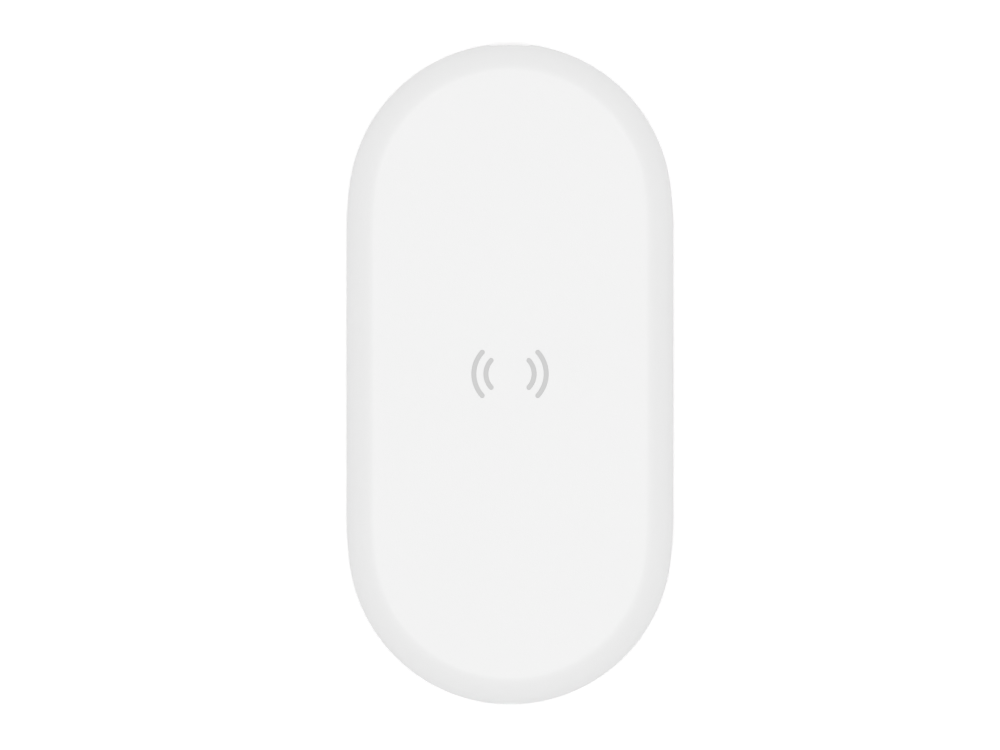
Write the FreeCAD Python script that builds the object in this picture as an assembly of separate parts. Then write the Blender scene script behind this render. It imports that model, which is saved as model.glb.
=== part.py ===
import FreeCAD, Part

# Wireless charging pad: a long, round-ended white pad that a phone is laid on to charge.
#
# Everything is in millimetres. +Z is up and +Y points out of the cable socket. The origin lies on the
# table, under the middle of the pad. The pad is a clamshell of two covers. Between them are three flat
# coils on a ferrite plate and its tray, a ballast plate, the main board behind the coils with the
# cable socket, and a small board with the status light in front of them.

import math
import os

from FreeCAD import Vector

# ---- the pad's outside ----
LENGTH = 145.6
WIDTH = 72.0
HEIGHT = 10.0
TIP_RADIUS = 35.6  # the round of each end
SIDE_RADIUS = 85.0  # the short flatter arcs between an end and the straight sides
ROLL_WIDTH = 6.2  # the curve of the upper edge, seen from above
ROLL_PULLS = (1.8, 2.4)  # how long that curve runs upright at the rim, and level at the flat
UNDER_ROLL_WIDTH = 5.0  # the curve of the lower edge
UNDER_ROLL_PULLS = (1.7, 2.8)
FOOT_HEIGHT = 0.8  # from the table to the underside

# ---- the two covers ----
WALL = 1.8
SEAM_Z = 4.0  # the parting line, at the pad's widest level
SEAM_GAP = 0.3
LOWER_RIM_Z = SEAM_Z - SEAM_GAP / 2
UPPER_RIM_Z = SEAM_Z + SEAM_GAP / 2
FLOOR_Z = FOOT_HEIGHT + 1.6  # inside of the bottom cover
ROOF_Z = HEIGHT - 1.6  # inside of the top cover
TONGUE_INSET = 1.05  # the bottom cover's tongue closes the seam from inside
TONGUE_TOP_Z = 4.75
REBATE_INSET = 0.95
REBATE_TOP_Z = 4.95
INNER_ROLL_WIDTH = 6.2
INNER_ROLL_PULLS = (0.6, 2.6)
UNDER_INNER_ROLL_PULLS = (0.8, 1.8)
MARK_DEPTH = 0.05

# ---- the foot ring ----
GROOVE_INSET = 7.5
GROOVE_WIDTH = 6.0
GROOVE_TOP_Z = 1.5
TAPE_THICKNESS = 0.1
FOOT_CLEARANCE = 0.1

# ---- the stack over the floor ----
BALLAST_Z = FLOOR_Z + TAPE_THICKNESS
BALLAST_THICKNESS = 1.0
BOARD_Z = 3.6
BOARD_TOP_Z = BOARD_Z + 1.0
TRAY_Z = 4.0
TRAY_TOP_Z = 5.1
FERRITE_Z = TRAY_TOP_Z + TAPE_THICKNESS
FERRITE_TOP_Z = FERRITE_Z + 0.8
LOWER_COIL_Z = FERRITE_TOP_Z + TAPE_THICKNESS
WIRE_THICKNESS = 1.0
UPPER_COIL_Z = LOWER_COIL_Z + WIRE_THICKNESS + TAPE_THICKNESS
UPPER_COIL_TOP_Z = UPPER_COIL_Z + WIRE_THICKNESS

# ---- coils: each is a rounded rectangle of flat-wound litz wire ----
COIL_TURNS = 11
COIL_PITCH = 1.07
WIRE_WIDTH = 1.0
COIL_HALF_X = 14.25  # the innermost turn's middle line
COIL_HALF_Y = 10.25
COIL_CORNER = 6.5
COIL_SPACING = 24.6  # from the middle coil to each lower one
OUTER_TAIL_X = -27.6
LEAD_DIAMETER = 1.1
LEAD_RUN_Z = 3.0
LEAD_END_Y = 53.6  # where every lead comes up through the main board
BEND = 0.7

# A lead for each coil end: where it leaves the coil, at what height, and the X of its run to the board.
COIL_LEADS = [
    (-3.0, -COIL_SPACING, LOWER_COIL_Z, -3.0),
    (0.0, 0.0, UPPER_COIL_Z, 0.0),
    (3.0, COIL_SPACING, LOWER_COIL_Z, 3.0),
    (OUTER_TAIL_X, -COIL_SPACING, LOWER_COIL_Z, -21.6),
    (OUTER_TAIL_X, 0.0, UPPER_COIL_Z, -23.2),
    (OUTER_TAIL_X, COIL_SPACING, LOWER_COIL_Z, -24.8),
]
LEAD_HOLE_RADIUS = 0.85

# ---- thermistor, in the window of the middle coil ----
BEAD_X = 6.0
BEAD_RADIUS = 0.6
THIN_LEAD_DIAMETER = 0.4
THIN_LEAD_OFFSETS = (-0.3, 0.3)
THIN_LEAD_RUNS = (5.3, 6.9)
BEAD_HOLE_RADIUS = 0.8

# ---- tray, ferrite and ballast ----
FERRITE_X = 57.6
FERRITE_Y = 98.0
FERRITE_CORNER = 6.0
TRAY_X = 60.4
TRAY_Y = 100.8
TRAY_CORNER = 7.0
TRAY_RIM = 1.2
TRAY_RIM_TOP_Z = 6.6
EAR_X = 31.9
EAR_Y = 14.0
EAR_RADIUS = 1.9
BALLAST_X = 39.0
BALLAST_Y = 84.0
BALLAST_SLOT_X = 16.4
BALLAST_SLOT_FRONT_Y = -30.0

# ---- cable socket ----
SOCKET_Z = 3.6
SOCKET_MOUTH_Y = 72.2
SOCKET_LENGTH = 6.8
SOCKET_BACK_Y = SOCKET_MOUTH_Y - SOCKET_LENGTH
SOCKET_WIDTH = 8.94
SOCKET_HEIGHT = 3.16
SOCKET_WALL = 0.3
OPENING_WIDTH = 9.5
OPENING_HEIGHT = 3.56
CONTACT_PITCH = 0.5
CONTACTS_IN_ROW = 12

# ---- main board ----
BOARD_INSET = 2.6
BOARD_FRONT_Y = 52.0

# ---- status light, at the front tip ----
LIGHT_Z = 4.6
GUIDE_WIDTH = 3.2
GUIDE_HEIGHT = 0.8
GUIDE_CLEARANCE = 0.05
GUIDE_BACK_Y = -66.3
LIGHT_BOARD_Z = 3.3
LIGHT_BOARD_TOP_Z = 4.1
LIGHT_PIN_X = 5.5
LIGHT_PIN_Y = -62.4
LIGHT_WIRE_DIAMETER = 0.6
LIGHT_WIRE_Y = -61.6
LIGHT_WIRE_RUN_Z = 2.9
LIGHT_WIRES = [(1.2, 20.5), (2.8, 22.1)]  # X at the light board, X of the run to the main board

# ---- screws ----
SCREW_CIRCLE = TIP_RADIUS - GROOVE_INSET - GROOVE_WIDTH / 2
SCREW_ANGLE = math.radians(50)
SCREW_SEAT_Z = 3.3
BOARD_SCREW_X = 10.5
BOARD_SCREW_Y = 55.5

# ---- worked out from those ----
TIP_Y = LENGTH / 2 - TIP_RADIUS
SIDE_X = WIDTH / 2 - SIDE_RADIUS
SIDE_Y = TIP_Y - math.sqrt((SIDE_RADIUS - TIP_RADIUS) ** 2 - SIDE_X**2)
JOIN_ANGLE = math.atan2(TIP_Y - SIDE_Y, -SIDE_X)
SCREW_X = SCREW_CIRCLE * math.cos(SCREW_ANGLE)
SCREW_Y = TIP_Y + SCREW_CIRCLE * math.sin(SCREW_ANGLE)

UP = Vector(0, 0, 1)
EAST = Vector(1, 0, 0)
NORTH = Vector(0, 1, 0)


# ---- shapes that the sub-parts share ----


def line(start, end):
    return Part.LineSegment(start, end).toShape()


def arc(centre_x, centre_y, z, radius, start, end):
    circle = Part.Circle(Vector(centre_x, centre_y, z), UP, radius)
    return Part.ArcOfCircle(circle, start, end).toShape()


def outline(inset, z):
    """The pad's outline as a closed wire at height z, moved inwards by inset."""
    half_width = WIDTH / 2 - inset
    side = SIDE_RADIUS - inset
    tip = TIP_RADIUS - inset
    turn = math.pi
    return Part.Wire(
        [
            line(Vector(half_width, -SIDE_Y, z), Vector(half_width, SIDE_Y, z)),
            arc(SIDE_X, SIDE_Y, z, side, 0, JOIN_ANGLE),
            arc(0, TIP_Y, z, tip, JOIN_ANGLE, turn - JOIN_ANGLE),
            arc(-SIDE_X, SIDE_Y, z, side, turn - JOIN_ANGLE, turn),
            line(Vector(-half_width, SIDE_Y, z), Vector(-half_width, -SIDE_Y, z)),
            arc(-SIDE_X, -SIDE_Y, z, side, turn, turn + JOIN_ANGLE),
            arc(0, -TIP_Y, z, tip, turn + JOIN_ANGLE, 2 * turn - JOIN_ANGLE),
            arc(SIDE_X, -SIDE_Y, z, side, -JOIN_ANGLE, 0),
        ]
    )


def slab(inset, low, high):
    """A plate with the pad's outline, moved inwards by inset."""
    return Part.Face(outline(inset, low)).extrude(UP * (high - low))


def outline_ring(outer_inset, inner_inset, low, high):
    return slab(outer_inset, low, high).cut(slab(inner_inset, low, high))


def pillow(inset, rim_z, flat_z, roll, pulls):
    """A slab whose edge curves from upright at rim_z to level at flat_z. The pulls shape the curve."""
    corner = Vector(WIDTH / 2 - inset - roll, -SIDE_Y, rim_z)
    rim = corner + EAST * roll
    flat = corner + UP * (flat_z - rim_z)
    upright = UP * math.copysign(pulls[0], flat_z - rim_z)
    curve = Part.BezierCurve()
    curve.setPoles([rim, rim + upright, flat + EAST * pulls[1], flat])
    section = Part.Wire([curve.toShape(), line(flat, corner), line(corner, rim)])
    rolled_edge = outline(inset, rim_z).makePipeShell([section], True, False)
    core = slab(inset + roll, min(rim_z, flat_z), max(rim_z, flat_z))
    return rolled_edge.fuse(core).removeSplitter()


def round_corners(middle, along, up, width, height, corner):
    """A rounded rectangle's face, in the plane of along and up."""
    far_x = width / 2
    far_y = height / 2
    near_x = far_x - corner
    near_y = far_y - corner
    diagonal = corner * math.sqrt(0.5)

    def at(x, y):
        return middle + along * x + up * y

    edges = []
    for sx, sy in ((1, 1), (-1, 1), (-1, -1), (1, -1)):
        ends = [at(sx * far_x, sy * near_y), at(sx * near_x, sy * far_y)]
        bulge = at(sx * (near_x + diagonal), sy * (near_y + diagonal))
        if sx != sy:
            ends.reverse()
        edges.append(Part.Arc(ends[0], bulge, ends[1]).toShape())
    for first in range(4):
        start = edges[first].valueAt(edges[first].LastParameter)
        following = edges[(first + 1) % 4]
        edges.append(line(start, following.valueAt(following.FirstParameter)))
    return Part.Face(Part.Wire(Part.__sortEdges__(edges)))


def plate(width, length, corner, low, high, x=0.0, y=0.0):
    """A level plate with rounded corners, its middle at x, y."""
    face = round_corners(Vector(x, y, low), EAST, NORTH, width, length, corner)
    return face.extrude(UP * (high - low))


def bar(width, height, corner, start_y, end_y, z):
    """A rounded bar that runs along Y through the pad's middle line, at height z."""
    face = round_corners(Vector(0, start_y, z), EAST, UP, width, height, corner)
    return face.extrude(NORTH * (end_y - start_y))


def block(x, y, low, width, length, height):
    """A box whose base is centred on x, y at height low."""
    return Part.makeBox(width, length, height, Vector(x - width / 2, y - length / 2, low))


def post(x, y, radius, low, high):
    return Part.makeCylinder(radius, high - low, Vector(x, y, low), UP)


def join(shapes):
    """Shapes that touch or overlap, as one solid."""
    return shapes[0].fuse(shapes[1:]).removeSplitter()


def group(shapes):
    """Solids that share a node and stay separate."""
    solids = [solid for shape in shapes for solid in shape.Solids]
    return Part.makeCompound(solids)


def screw(x, y, seat_z, head_radius, head_height, shank_radius, shank_length, points):
    """A pan-head screw with a cross recess. points is +1 where its shank points up, or -1."""
    head = Part.makeCylinder(head_radius, head_height, Vector(), UP)
    top_edges = [edge for edge in head.Edges if abs(edge.BoundBox.ZMin - head_height) < 1e-6]
    head = head.makeFillet(head_height * 0.4, top_edges)
    shank = Part.makeCylinder(shank_radius, shank_length, Vector(), -UP)
    arm = head_radius * 0.26
    recess = block(0, 0, head_height * 0.45, head_radius * 1.15, arm, head_height)
    crossed = block(0, 0, head_height * 0.45, arm, head_radius * 1.15, head_height)
    made = join([head, shank]).cut([recess, crossed])
    if points > 0:
        made.rotate(Vector(), EAST, 180)
    made.translate(Vector(x, y, seat_z))
    return made


def wire_through(points, diameter, bend):
    """A round wire along straight runs, with an arc of radius bend at each corner."""
    edges = []
    here = points[0]
    for before, corner, after in zip(points, points[1:], points[2:]):
        arrive = (corner - before).normalize()
        leave = (after - corner).normalize()
        half_turn = arrive.getAngle(leave) / 2
        start = corner - arrive * (bend * math.tan(half_turn))
        end = corner + leave * (bend * math.tan(half_turn))
        inwards = (leave - arrive).normalize()
        middle = corner + inwards * (bend / math.cos(half_turn) - bend)
        edges.append(line(here, start))
        edges.append(Part.Arc(start, middle, end).toShape())
        here = end
    edges.append(line(here, points[-1]))
    section = Part.Wire(Part.makeCircle(diameter / 2, points[0], points[1] - points[0]))
    return Part.Wire(edges).makePipeShell([section], True, True)


def screw_places():
    return [(sx * SCREW_X, sy * SCREW_Y) for sx in (-1, 1) for sy in (-1, 1)]


def ear_places():
    return [(sx * EAR_X, sy * EAR_Y) for sx in (-1, 1) for sy in (-1, 1)]


def snap_places():
    return [(side, y) for side in (-1, 1) for y in (-27.0, 0.0, 27.0)]


# ---- the covers ----


def stroke(side, radius):
    """One curved bar of the mark: side is -1 or +1, and radius is that of its middle line."""
    centre = Vector(side * 0.9, 0, HEIGHT - MARK_DEPTH)
    half_width = 0.575
    half_angle = math.radians(43.6)

    def at(distance, angle):
        return centre + Vector(side * distance * math.cos(angle), distance * math.sin(angle), 0)

    outer = radius + half_width
    inner = radius - half_width
    cap = half_width / radius
    edges = [
        Part.Arc(at(outer, -half_angle), at(outer, 0), at(outer, half_angle)).toShape(),
        Part.Arc(at(outer, half_angle), at(radius, half_angle + cap), at(inner, half_angle)).toShape(),
        Part.Arc(at(inner, half_angle), at(inner, 0), at(inner, -half_angle)).toShape(),
        Part.Arc(at(inner, -half_angle), at(radius, -half_angle - cap), at(outer, -half_angle)).toShape(),
    ]
    return Part.Face(Part.Wire(edges)).extrude(UP * MARK_DEPTH)


def charge_mark():
    """Two pairs of curved bars, printed where the middle of a phone should lie."""
    return group([stroke(side, radius) for side in (-1, 1) for radius in (4.4, 7.05)])


def socket_opening():
    return bar(OPENING_WIDTH, OPENING_HEIGHT, 1.7, SOCKET_BACK_Y - 0.05, LENGTH / 2 + 1, SOCKET_Z)


def top_cover_outside():
    return pillow(0, UPPER_RIM_Z, HEIGHT, ROLL_WIDTH, ROLL_PULLS)


def top_cover_inside():
    inside = pillow(WALL, REBATE_TOP_Z, ROOF_Z, INNER_ROLL_WIDTH, INNER_ROLL_PULLS)
    return inside.fuse(slab(WALL, SEAM_Z, REBATE_TOP_Z)).removeSplitter()


def top_cover():
    rebate = slab(REBATE_INSET, UPPER_RIM_Z, REBATE_TOP_Z)
    shell = top_cover_outside().cut([top_cover_inside(), rebate])
    added = [shell]
    for x, y in screw_places():
        added.append(post(x, y, 2.4, 5.0, ROOF_Z + 0.2))
    for side, y in snap_places():
        added.append(block(side * 33.6, y, 5.25, 2.0, 6.4, 0.5))
    cover = join(added)
    removed = [socket_opening(), charge_mark()]
    removed += [post(x, y, 1.0, 5.0, ROOF_Z) for x, y in screw_places()]
    slot_top = LIGHT_Z + GUIDE_HEIGHT / 2 + GUIDE_CLEARANCE
    slot_width = GUIDE_WIDTH + 2 * GUIDE_CLEARANCE
    removed.append(block(0, -LENGTH / 2, UPPER_RIM_Z, slot_width, 6.0, slot_top - UPPER_RIM_Z))
    return cover.cut(removed)


def snap_arm(side, y):
    """An upright arm whose barb catches over the top cover's ledge."""
    inner, outer, barb = side * 31.5, side * 32.5, side * 32.9
    profile = [(inner, FLOOR_Z), (outer, FLOOR_Z), (outer, 5.85), (barb, 6.0), (outer, 6.5), (inner, 6.5)]
    corners = [Vector(x, y - 3.0, z) for x, z in profile]
    return Part.Face(Part.makePolygon(corners + corners[:1])).extrude(NORTH * 6.0)


def bottom_cover():
    outside = pillow(0, LOWER_RIM_Z, FOOT_HEIGHT, UNDER_ROLL_WIDTH, UNDER_ROLL_PULLS)
    inside_width = UNDER_ROLL_WIDTH - WALL
    inside = pillow(WALL, LOWER_RIM_Z, FLOOR_Z, inside_width, UNDER_INNER_ROLL_PULLS)
    added = [outside.cut(inside), outline_ring(TONGUE_INSET, WALL, LOWER_RIM_Z, TONGUE_TOP_Z)]
    for x, y in screw_places():
        added.append(post(x, y, 3.4, FLOOR_Z, BOARD_Z))
        added.append(post(x, y, 2.6, FLOOR_Z, 4.9))
    for side in (-1, 1):
        added.append(post(side * BOARD_SCREW_X, BOARD_SCREW_Y, 1.8, FLOOR_Z, BOARD_Z))
        added.append(post(side * 13.0, 65.0, 1.2, FLOOR_Z, BOARD_Z))
        added.append(post(side * LIGHT_PIN_X, LIGHT_PIN_Y, 1.6, FLOOR_Z, LIGHT_BOARD_Z))
        added.append(post(side * LIGHT_PIN_X, LIGHT_PIN_Y, 0.75, FLOOR_Z, LIGHT_BOARD_TOP_Z + 0.6))
    added += [post(x, y, 1.8, FLOOR_Z - 0.1, TRAY_Z) for x, y in ear_places()]
    added += [snap_arm(side, y) for side, y in snap_places()]
    cover = join(added)
    removed = [outline_ring(GROOVE_INSET, GROOVE_INSET + GROOVE_WIDTH, FOOT_HEIGHT, GROOVE_TOP_Z)]
    for x, y in screw_places():
        removed.append(post(x, y, 2.1, FOOT_HEIGHT, SCREW_SEAT_Z))
        removed.append(post(x, y, 1.15, FOOT_HEIGHT, 4.9))
    removed += [post(x, y, 0.8, 2.0, TRAY_Z) for x, y in ear_places()]
    for side in (-1, 1):
        removed.append(post(side * BOARD_SCREW_X, BOARD_SCREW_Y, 0.8, 1.4, BOARD_Z))
    removed.append(socket_opening())
    removed.append(block(0, -LENGTH / 2, LOWER_RIM_Z, GUIDE_WIDTH + 0.4, 5.0, 2.0))
    return cover.cut(removed)


def foot_ring():
    outer = GROOVE_INSET + FOOT_CLEARANCE
    inner = GROOVE_INSET + GROOVE_WIDTH - FOOT_CLEARANCE
    ring = outline_ring(outer, inner, 0, GROOVE_TOP_Z - TAPE_THICKNESS)
    lower_edges = [edge for edge in ring.Edges if edge.BoundBox.ZMax < 1e-6]
    return ring.makeFillet(0.3, lower_edges)


def foot_tape():
    outer = GROOVE_INSET + 0.4
    inner = GROOVE_INSET + GROOVE_WIDTH - 0.4
    return outline_ring(outer, inner, GROOVE_TOP_Z - TAPE_THICKNESS, GROOVE_TOP_Z)


def housing_screws():
    return group([screw(x, y, SCREW_SEAT_Z, 1.9, 1.4, 0.98, 5.0, +1) for x, y in screw_places()])


# ---- the coils and what carries them ----


def lead_holes(low, high, radius=LEAD_HOLE_RADIUS):
    """The holes that the coil leads and the thermistor's leads need in a layer."""
    holes = [post(x, y, radius, low, high) for x, y, _, _ in COIL_LEADS]
    holes.append(post(BEAD_X, 0, BEAD_HOLE_RADIUS, low, high))
    return holes


def coil_tray():
    base = plate(TRAY_X, TRAY_Y, TRAY_CORNER, TRAY_Z, TRAY_TOP_Z)
    rim_outside = plate(TRAY_X, TRAY_Y, TRAY_CORNER, TRAY_TOP_Z, TRAY_RIM_TOP_Z)
    inner_corner = TRAY_CORNER - TRAY_RIM
    pocket = plate(
        TRAY_X - 2 * TRAY_RIM, TRAY_Y - 2 * TRAY_RIM, inner_corner, TRAY_TOP_Z, TRAY_RIM_TOP_Z
    )
    added = [base, rim_outside.cut(pocket)]
    for x, y in ear_places():
        added.append(post(x, y, EAR_RADIUS, TRAY_Z, TRAY_TOP_Z))
        added.append(block(x - math.copysign(1.2, x), y, TRAY_Z, 2.4, 2 * EAR_RADIUS, TRAY_TOP_Z - TRAY_Z))
    removed = lead_holes(TRAY_Z, TRAY_TOP_Z)
    removed += [post(x, y, 0.9, TRAY_Z, TRAY_TOP_Z) for x, y in ear_places()]
    for side in (-1, 1):
        for y in (-COIL_SPACING, COIL_SPACING):
            removed.append(plate(6, 30, 2.9, TRAY_Z, TRAY_TOP_Z, side * 14.0, y))
    return join(added).cut(removed)


def tray_screws():
    return group([screw(x, y, TRAY_TOP_Z, 1.5, 1.0, 0.78, 2.8, -1) for x, y in ear_places()])


def ferrite_plate():
    whole = plate(FERRITE_X, FERRITE_Y, FERRITE_CORNER, FERRITE_Z, FERRITE_TOP_Z)
    removed = lead_holes(FERRITE_Z, FERRITE_TOP_Z)
    for y in (-COIL_SPACING, 0, COIL_SPACING):
        notch = block(OUTER_TAIL_X - 1.0, y, FERRITE_Z, 2.0, 2 * LEAD_HOLE_RADIUS, 0.8)
        removed.append(notch)
    return whole.cut(removed)


def film(width, length, low):
    """A thin sheet with the lead holes."""
    sheet = plate(width, length, 5.0, low, low + TAPE_THICKNESS)
    return sheet.cut(lead_holes(low, low + TAPE_THICKNESS))


def half_loop(grow, shift_x, offset, upper):
    """Half of a rounded rectangle's turn: over the top from -X to +X, or back underneath."""
    half_x = COIL_HALF_X + grow + offset
    half_y = COIL_HALF_Y + grow + offset
    corner = COIL_CORNER + grow + offset
    near_x = half_x - corner
    near_y = half_y - corner
    bulge = corner * math.sqrt(0.5)
    side = 1 if upper else -1

    def at(x, y):
        return Vector(shift_x + side * x, side * y, 0)

    return [
        line(at(-half_x, 0), at(-half_x, near_y)),
        Part.Arc(at(-half_x, near_y), at(-near_x - bulge, near_y + bulge), at(-near_x, half_y)).toShape(),
        line(at(-near_x, half_y), at(near_x, half_y)),
        Part.Arc(at(near_x, half_y), at(near_x + bulge, near_y + bulge), at(half_x, near_y)).toShape(),
        line(at(half_x, near_y), at(half_x, 0)),
    ]


def winding_side(offset):
    """One side of the wound wire, from the innermost turn to the outermost."""
    edges = []
    for turn in range(COIL_TURNS):
        grow = turn * COIL_PITCH
        edges += half_loop(grow, 0, offset, True)
        edges += half_loop(grow + COIL_PITCH / 2, -COIL_PITCH / 2, offset, False)
    return edges


def coil(y, low, inner_tail_x):
    """A flat spiral of litz wire, with a straight tail at each end."""
    half = WIRE_WIDTH / 2
    inner_x = -COIL_HALF_X
    outer_x = -COIL_HALF_X - COIL_TURNS * COIL_PITCH
    inner_cap = line(Vector(inner_x + half, 0, 0), Vector(inner_x - half, 0, 0))
    outer_cap = line(Vector(outer_x - half, 0, 0), Vector(outer_x + half, 0, 0))
    edges = winding_side(half) + [outer_cap] + winding_side(-half)[::-1] + [inner_cap]
    winding = Part.Face(Part.Wire(Part.__sortEdges__(edges))).extrude(UP * WIRE_THICKNESS)
    inner_tail = Part.makeBox(
        inner_tail_x + LEAD_DIAMETER / 2 - (inner_x - half), WIRE_WIDTH, WIRE_THICKNESS,
        Vector(inner_x - half, -half, 0),
    )
    tail_start = OUTER_TAIL_X - LEAD_DIAMETER / 2
    outer_tail = Part.makeBox(
        outer_x + half - tail_start, WIRE_WIDTH, WIRE_THICKNESS, Vector(tail_start, -half, 0)
    )
    made = join([winding, inner_tail, outer_tail])
    made.translate(Vector(0, y, low))
    return made


def coil_leads():
    leads = []
    for x, y, start_z, run_x in COIL_LEADS:
        turn_y = y + abs(run_x - x) + 3.0
        points = [Vector(x, y, start_z), Vector(x, y, LEAD_RUN_Z)]
        if run_x != x:
            points.append(Vector(x, y + 3.0, LEAD_RUN_Z))
            points.append(Vector(run_x, turn_y, LEAD_RUN_Z))
        points.append(Vector(run_x, LEAD_END_Y, LEAD_RUN_Z))
        points.append(Vector(run_x, LEAD_END_Y, BOARD_TOP_Z))
        leads.append(wire_through(points, LEAD_DIAMETER, BEND))
    return group(leads)


def coil_foam():
    """The soft frame that presses the middle coil down from the roof."""
    outer = plate(52.0, 44.0, 18.0, UPPER_COIL_TOP_Z, ROOF_Z)
    window = plate(29.0, 21.0, 6.0, UPPER_COIL_TOP_Z, ROOF_Z)
    return outer.cut(window)


def thermistor():
    bead = post(BEAD_X, 0, BEAD_RADIUS, UPPER_COIL_Z, UPPER_COIL_Z + 0.9)
    top_edges = [edge for edge in bead.Edges if edge.BoundBox.ZMin > UPPER_COIL_Z + 0.8]
    return bead.makeFillet(0.45, top_edges)


def thermistor_leads():
    leads = []
    for offset, run_x in zip(THIN_LEAD_OFFSETS, THIN_LEAD_RUNS):
        x = BEAD_X + offset
        points = [
            Vector(x, 0, UPPER_COIL_Z),
            Vector(x, 0, LEAD_RUN_Z),
            Vector(x, 2.0, LEAD_RUN_Z),
            Vector(run_x, 4.0, LEAD_RUN_Z),
            Vector(run_x, LEAD_END_Y, LEAD_RUN_Z),
            Vector(run_x, LEAD_END_Y, BOARD_TOP_Z),
        ]
        leads.append(wire_through(points, THIN_LEAD_DIAMETER, 0.6))
    return group(leads)


def ballast_outline(shrink, low, high):
    """The ballast plate, a U that leaves a channel for the leads along its middle."""
    whole = plate(BALLAST_X - 2 * shrink, BALLAST_Y - 2 * shrink, 3.0, low, high)
    slot_length = BALLAST_Y / 2 - BALLAST_SLOT_FRONT_Y + 5.0
    slot_y = BALLAST_SLOT_FRONT_Y - shrink + slot_length / 2
    return whole.cut(plate(BALLAST_SLOT_X + 2 * shrink, slot_length, 3.0, low, high, 0, slot_y))


def ballast_plate():
    return ballast_outline(0, BALLAST_Z, BALLAST_Z + BALLAST_THICKNESS)


def ballast_tape():
    return ballast_outline(1.0, FLOOR_Z, BALLAST_Z)


# ---- the main board ----

# Where the parts of each kind stand on the board, and each kind's width, length and height.
BRIDGE_TRANSISTORS = [(-18.6, 60.9), (18.6, 60.9), (-22.6, 56.8), (22.6, 56.8)]
COIL_SWITCHES = [(-5.6, 55.6), (0.0, 55.6), (5.6, 55.6)]
RESONANCE_CAPACITORS = [(x, y) for x in (8.2, 12.0) for y in (59.6, 62.5)]
INPUT_CAPACITORS = [(-9.8, 65.6), (-7.6, 66.4), (7.6, 66.4), (9.8, 65.6)]
BYPASS_CAPACITORS = [(x, 57.2) for x in (-2.4, -0.8, 0.8, 2.4)]
BYPASS_CAPACITORS += [(4.3, y) for y in (60.4, 61.4, 62.4, 63.4)]
BYPASS_CAPACITORS += [(-4.3, y) for y in (61.4, 62.4, 63.4)]
SMALL_RESISTORS = [(side * (9.5 + 1.6 * n), 52.9) for side in (-1, 1) for n in range(6)]


def main_board():
    behind = Part.makeBox(WIDTH, LENGTH, HEIGHT, Vector(-WIDTH / 2, BOARD_FRONT_Y, 0))
    board = slab(BOARD_INSET, BOARD_Z, BOARD_TOP_Z).common(behind)
    thickness = BOARD_TOP_Z - BOARD_Z
    removed = [block(0, SOCKET_BACK_Y + 4.85, BOARD_Z, 9.2, 10.0, thickness)]
    removed += [post(sx * SCREW_X, SCREW_Y, 2.7, BOARD_Z, BOARD_TOP_Z) for sx in (-1, 1)]
    removed += [
        post(sx * BOARD_SCREW_X, BOARD_SCREW_Y, 0.9, BOARD_Z, BOARD_TOP_Z) for sx in (-1, 1)
    ]
    removed += [
        post(x, LEAD_END_Y, radius + 0.15, BOARD_Z, BOARD_TOP_Z) for x, radius in board_wires()
    ]
    return board.cut(removed)


def board_wires():
    """The X and radius of every wire that comes up through the main board."""
    wires = [(run_x, LEAD_DIAMETER / 2) for _, _, _, run_x in COIL_LEADS]
    wires += [(run_x, THIN_LEAD_DIAMETER / 2) for run_x in THIN_LEAD_RUNS]
    wires += [(run_x, LIGHT_WIRE_DIAMETER / 2) for _, run_x in LIGHT_WIRES]
    return wires


def solder_joints():
    joints = []
    for x, radius in board_wires():
        joints.append(
            Part.makeCone(radius + 0.25, radius * 0.4, 0.7, Vector(x, LEAD_END_Y, BOARD_TOP_Z), UP)
        )
    for x, _ in LIGHT_WIRES:
        place = Vector(x, LIGHT_WIRE_Y, LIGHT_BOARD_TOP_Z)
        joints.append(Part.makeCone(0.55, 0.12, 0.6, place, UP))
    return group(joints)


def board_screws():
    return group(
        [
            screw(side * BOARD_SCREW_X, BOARD_SCREW_Y, BOARD_TOP_Z, 1.5, 1.0, 0.78, 2.5, -1)
            for side in (-1, 1)
        ]
    )


def chips(places, width, length, height, chamfer=0.0):
    """Square-edged packages on the board, with their upper edges bevelled."""
    made = []
    for x, y in places:
        body = block(x, y, BOARD_TOP_Z, width, length, height)
        if chamfer:
            top = BOARD_TOP_Z + height
            upper_edges = [edge for edge in body.Edges if edge.BoundBox.ZMin > top - 1e-6]
            body = body.makeChamfer(chamfer, upper_edges)
        made.append(body)
    return group(made)


def coil_switches():
    """Small transistors with three bent legs each."""
    made = []
    for x, y in COIL_SWITCHES:
        body = block(x, y, BOARD_TOP_Z + 0.1, 2.9, 1.3, 1.0)
        legs = [
            block(x + leg_x, y + leg_side * 0.85, BOARD_TOP_Z, 0.4, 0.5, 0.45)
            for leg_x, leg_side in ((-0.95, -1), (0.95, -1), (0, 1))
        ]
        made.append(join([body] + legs))
    return group(made)


def power_inductor():
    body = plate(5.2, 5.2, 0.8, BOARD_TOP_Z, BOARD_TOP_Z + 2.4, -9.8, 61.2)
    top_edges = [edge for edge in body.Edges if edge.BoundBox.ZMin > BOARD_TOP_Z + 2.3]
    return body.makeFillet(0.3, top_edges)


# ---- the cable socket ----


def socket_shell():
    outside = bar(SOCKET_WIDTH, SOCKET_HEIGHT, 1.5, SOCKET_BACK_Y, SOCKET_MOUTH_Y, SOCKET_Z)
    legs = [block(side * 4.85, 67.6, BOARD_TOP_Z, 2.3, 1.6, 0.25) for side in (-1, 1)]
    inner_width = SOCKET_WIDTH - 2 * SOCKET_WALL
    inner_height = SOCKET_HEIGHT - 2 * SOCKET_WALL
    inside = bar(
        inner_width, inner_height, 1.2, SOCKET_BACK_Y + SOCKET_WALL, SOCKET_MOUTH_Y, SOCKET_Z
    )
    return join([outside] + legs).cut(inside)


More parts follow.
